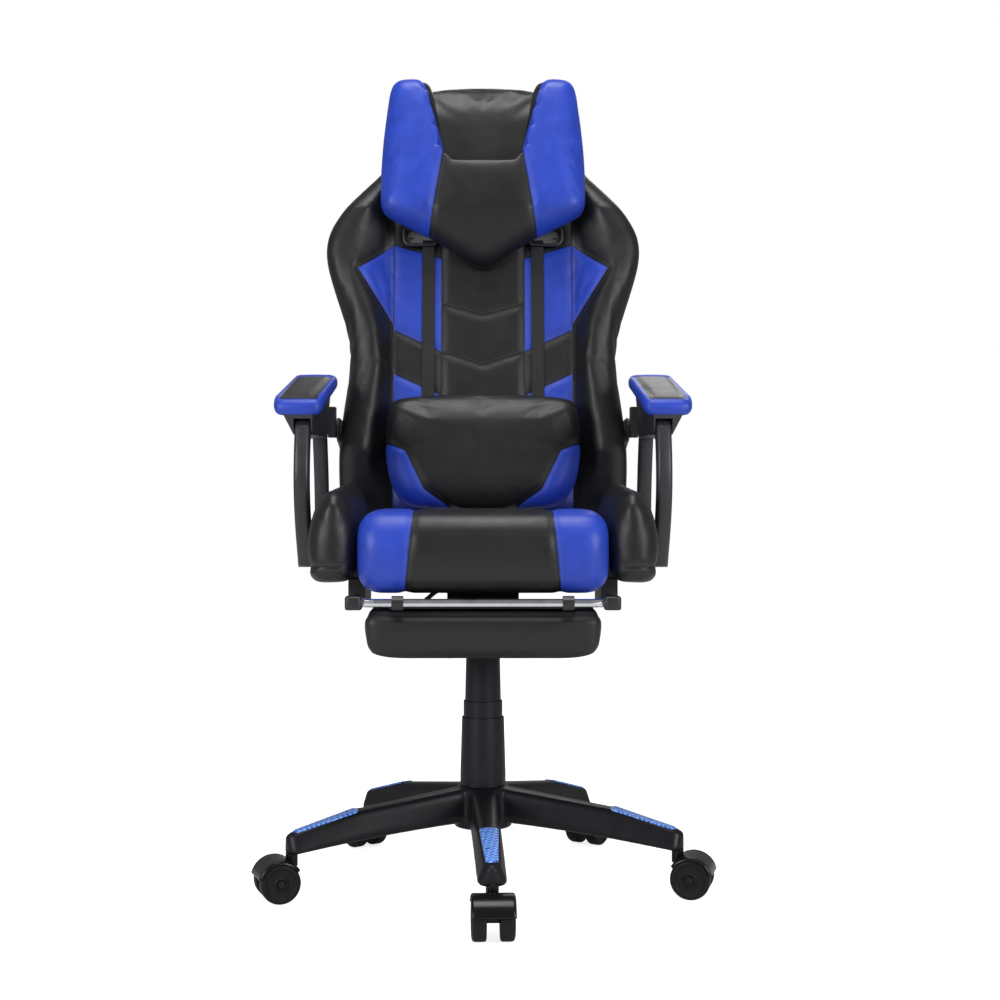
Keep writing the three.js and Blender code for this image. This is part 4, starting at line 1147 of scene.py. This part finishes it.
insert_film = insert_material()
INSERT_START, INSERT_END = 0.202, 0.300
for number, stem in enumerate(stems, 1):
    outward = stem / np.linalg.norm(stem)
    beyond = np.array([-outward[1], outward[0]])
    r = np.linspace(INSERT_START, INSERT_END, 40)[:, None]
    past = np.clip((np.abs(r - (INSERT_START + INSERT_END) / 2) - 0.044) / 0.0055, 0, 1)
    blunt = np.sqrt(np.clip(1 - past**2, 0.02, 1))
    wide = (0.0142 - 0.0055 * (r - INSERT_START) / (INSERT_END - INSERT_START)) * blunt
    t = np.linspace(-1, 1, 9)
    ring = np.concatenate([np.stack([t, np.full(9, -0.0020)], axis=1),
                           np.stack([-0.96 * t, 0.0010 - 0.0006 * t**4], axis=1)])
    flat = r[..., None] * outward + (wide * ring[:, 0])[..., None] * beyond + (column_x, column_y)
    top = arm_top(r) + ring[:, 1]
    insert = skin(f"arm_insert_{number}", np.concatenate([flat, top[..., None]], axis=2))
    where = np.stack([(wide * ring[:, 0]).ravel(), np.broadcast_to(r, (40, len(ring))).ravel()], axis=1)
    mapped(insert, where)
    finish(insert, "base", "blue_upholstery", insert_film)

# ---------------------------------------------------------------------------------------------
# Casters: a glossy nylon hood over two wheels with a softer tread, on a steel stem that snaps into
# the arm's end. The wheels trail behind the stem.
# ---------------------------------------------------------------------------------------------
caster_plastic = plastic("caster_plastic", (0.006, 0.006, 0.007, 1), 0.22, tooth=1600, depth=0.06, gloss=0.25)
HOOD_OUTER, HOOD_WALL, HOOD_EDGE = 0.0342, 0.0030, 0.004
HOOD_HALF, WEB_HALF = 0.0306, 0.0064
WHEEL_INNER_FACE = 0.0094     # from the hood's middle


def caster_hood(name, outward, stem, axle, axle_middle):
    """The hood and its middle web in one closed skin. Rings run across the width, from one side to
    the other: each is the side outline of the hood's wall, or of the whole web at the middle."""
    turn = np.linspace(0.25, 2.55, 40)
    width = np.linspace(-HOOD_HALF, HOOD_HALF, 49)
    past = np.clip((np.abs(width) - HOOD_HALF + HOOD_EDGE) / HOOD_EDGE, 0, 1)
    outer = (HOOD_OUTER - HOOD_EDGE * (1 - np.sqrt(1 - past**2)))[:, None]
    inner = np.minimum(HOOD_OUTER - HOOD_WALL, outer - 0.0008)
    web = (np.abs(width) < WEB_HALF)[:, None]
    inner = np.where(web, 0.010, inner)
    arc = np.concatenate([np.stack([outer * np.cos(turn), outer * np.sin(turn)], axis=2),
                          np.stack([inner * np.cos(turn[::-1]), inner * np.sin(turn[::-1])], axis=2)], axis=1)
    points = (axle_middle + arc[..., :1] * outward + arc[..., 1:] * np.array((0, 0, 1.0))
              + width[:, None, None] * axle)
    hood = skin(name, points)
    collar = turned("collar", outlined([(0.0001, 0.050), (0.0090, 0.050), (0.0090, 0.0775), (0.0075, 0.0790),
                                        (0.0055, 0.0795), (0.0055, 0.0900), (0.0001, 0.0900)], 0.001, 3),
                    (stem[0], stem[1], 0), steps=32)
    cap = turned("cap", outlined([(0.0001, -0.0304), (0.0058, -0.0304), (0.0058, 0.0304), (0.0001, 0.0304)],
                                 0.001, 3), axle_middle, axle, 24)
    joined(hood, collar, cap)
    hood.data.polygons.foreach_set("use_smooth", [True] * len(hood.data.polygons))
    return hood


wheel_rubber = plastic("wheel_rubber", (0.007, 0.007, 0.007, 1), 0.5, tooth=700, depth=0.3, gloss=0.2)
wheel_profile = outlined([(0.0065, 0.0), (0.0285, 0.0), (0.0300, 0.0020), (0.0300, 0.0165), (0.0280, 0.0195),
                          (0.0230, 0.0205), (0.0215, 0.0180), (0.0110, 0.0175), (0.0095, 0.0205),
                          (0.0065, 0.0205)], 0.0016, 3)
for number in range(1, 6):
    left, right = (np.mean(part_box(f"caster_{number}_wheel_{side}"), axis=0) for side in ("left", "right"))
    rolls = [joints[f"caster_{number}_{side}_roll"] for side in ("left", "right")]
    axle = np.array(rolls[0]["axis"], float)
    axle *= np.sign(axle @ (left - right)) / np.linalg.norm(axle)
    axle_middle = (left + right) / 2
    on_axle = np.array(rolls[0]["pos_m"])
    axle_middle = on_axle + axle * (axle @ (axle_middle - on_axle))
    for side, sign in SIDES:
        wheel = turned(f"caster_{number}_tyre_{side}", wheel_profile, axle_middle + axle * sign * WHEEL_INNER_FACE,
                       axle * sign, 56)
        finish(wheel, f"caster_{number}_{side}_wheel", "wheel_rubber", wheel_rubber,
               f"caster_{number}_wheel_{side}")
    stem = np.array(joints[f"caster_{number}_swivel"]["pos_m"])[:2]
    outward = np.append(axle_middle[:2] - stem, 0.0)
    outward /= np.linalg.norm(outward)
    hood = caster_hood(f"caster_{number}_hood", outward, stem, axle, axle_middle)
    finish(hood, f"caster_{number}_body", "caster_plastic", caster_plastic, f"caster_{number}_fork")
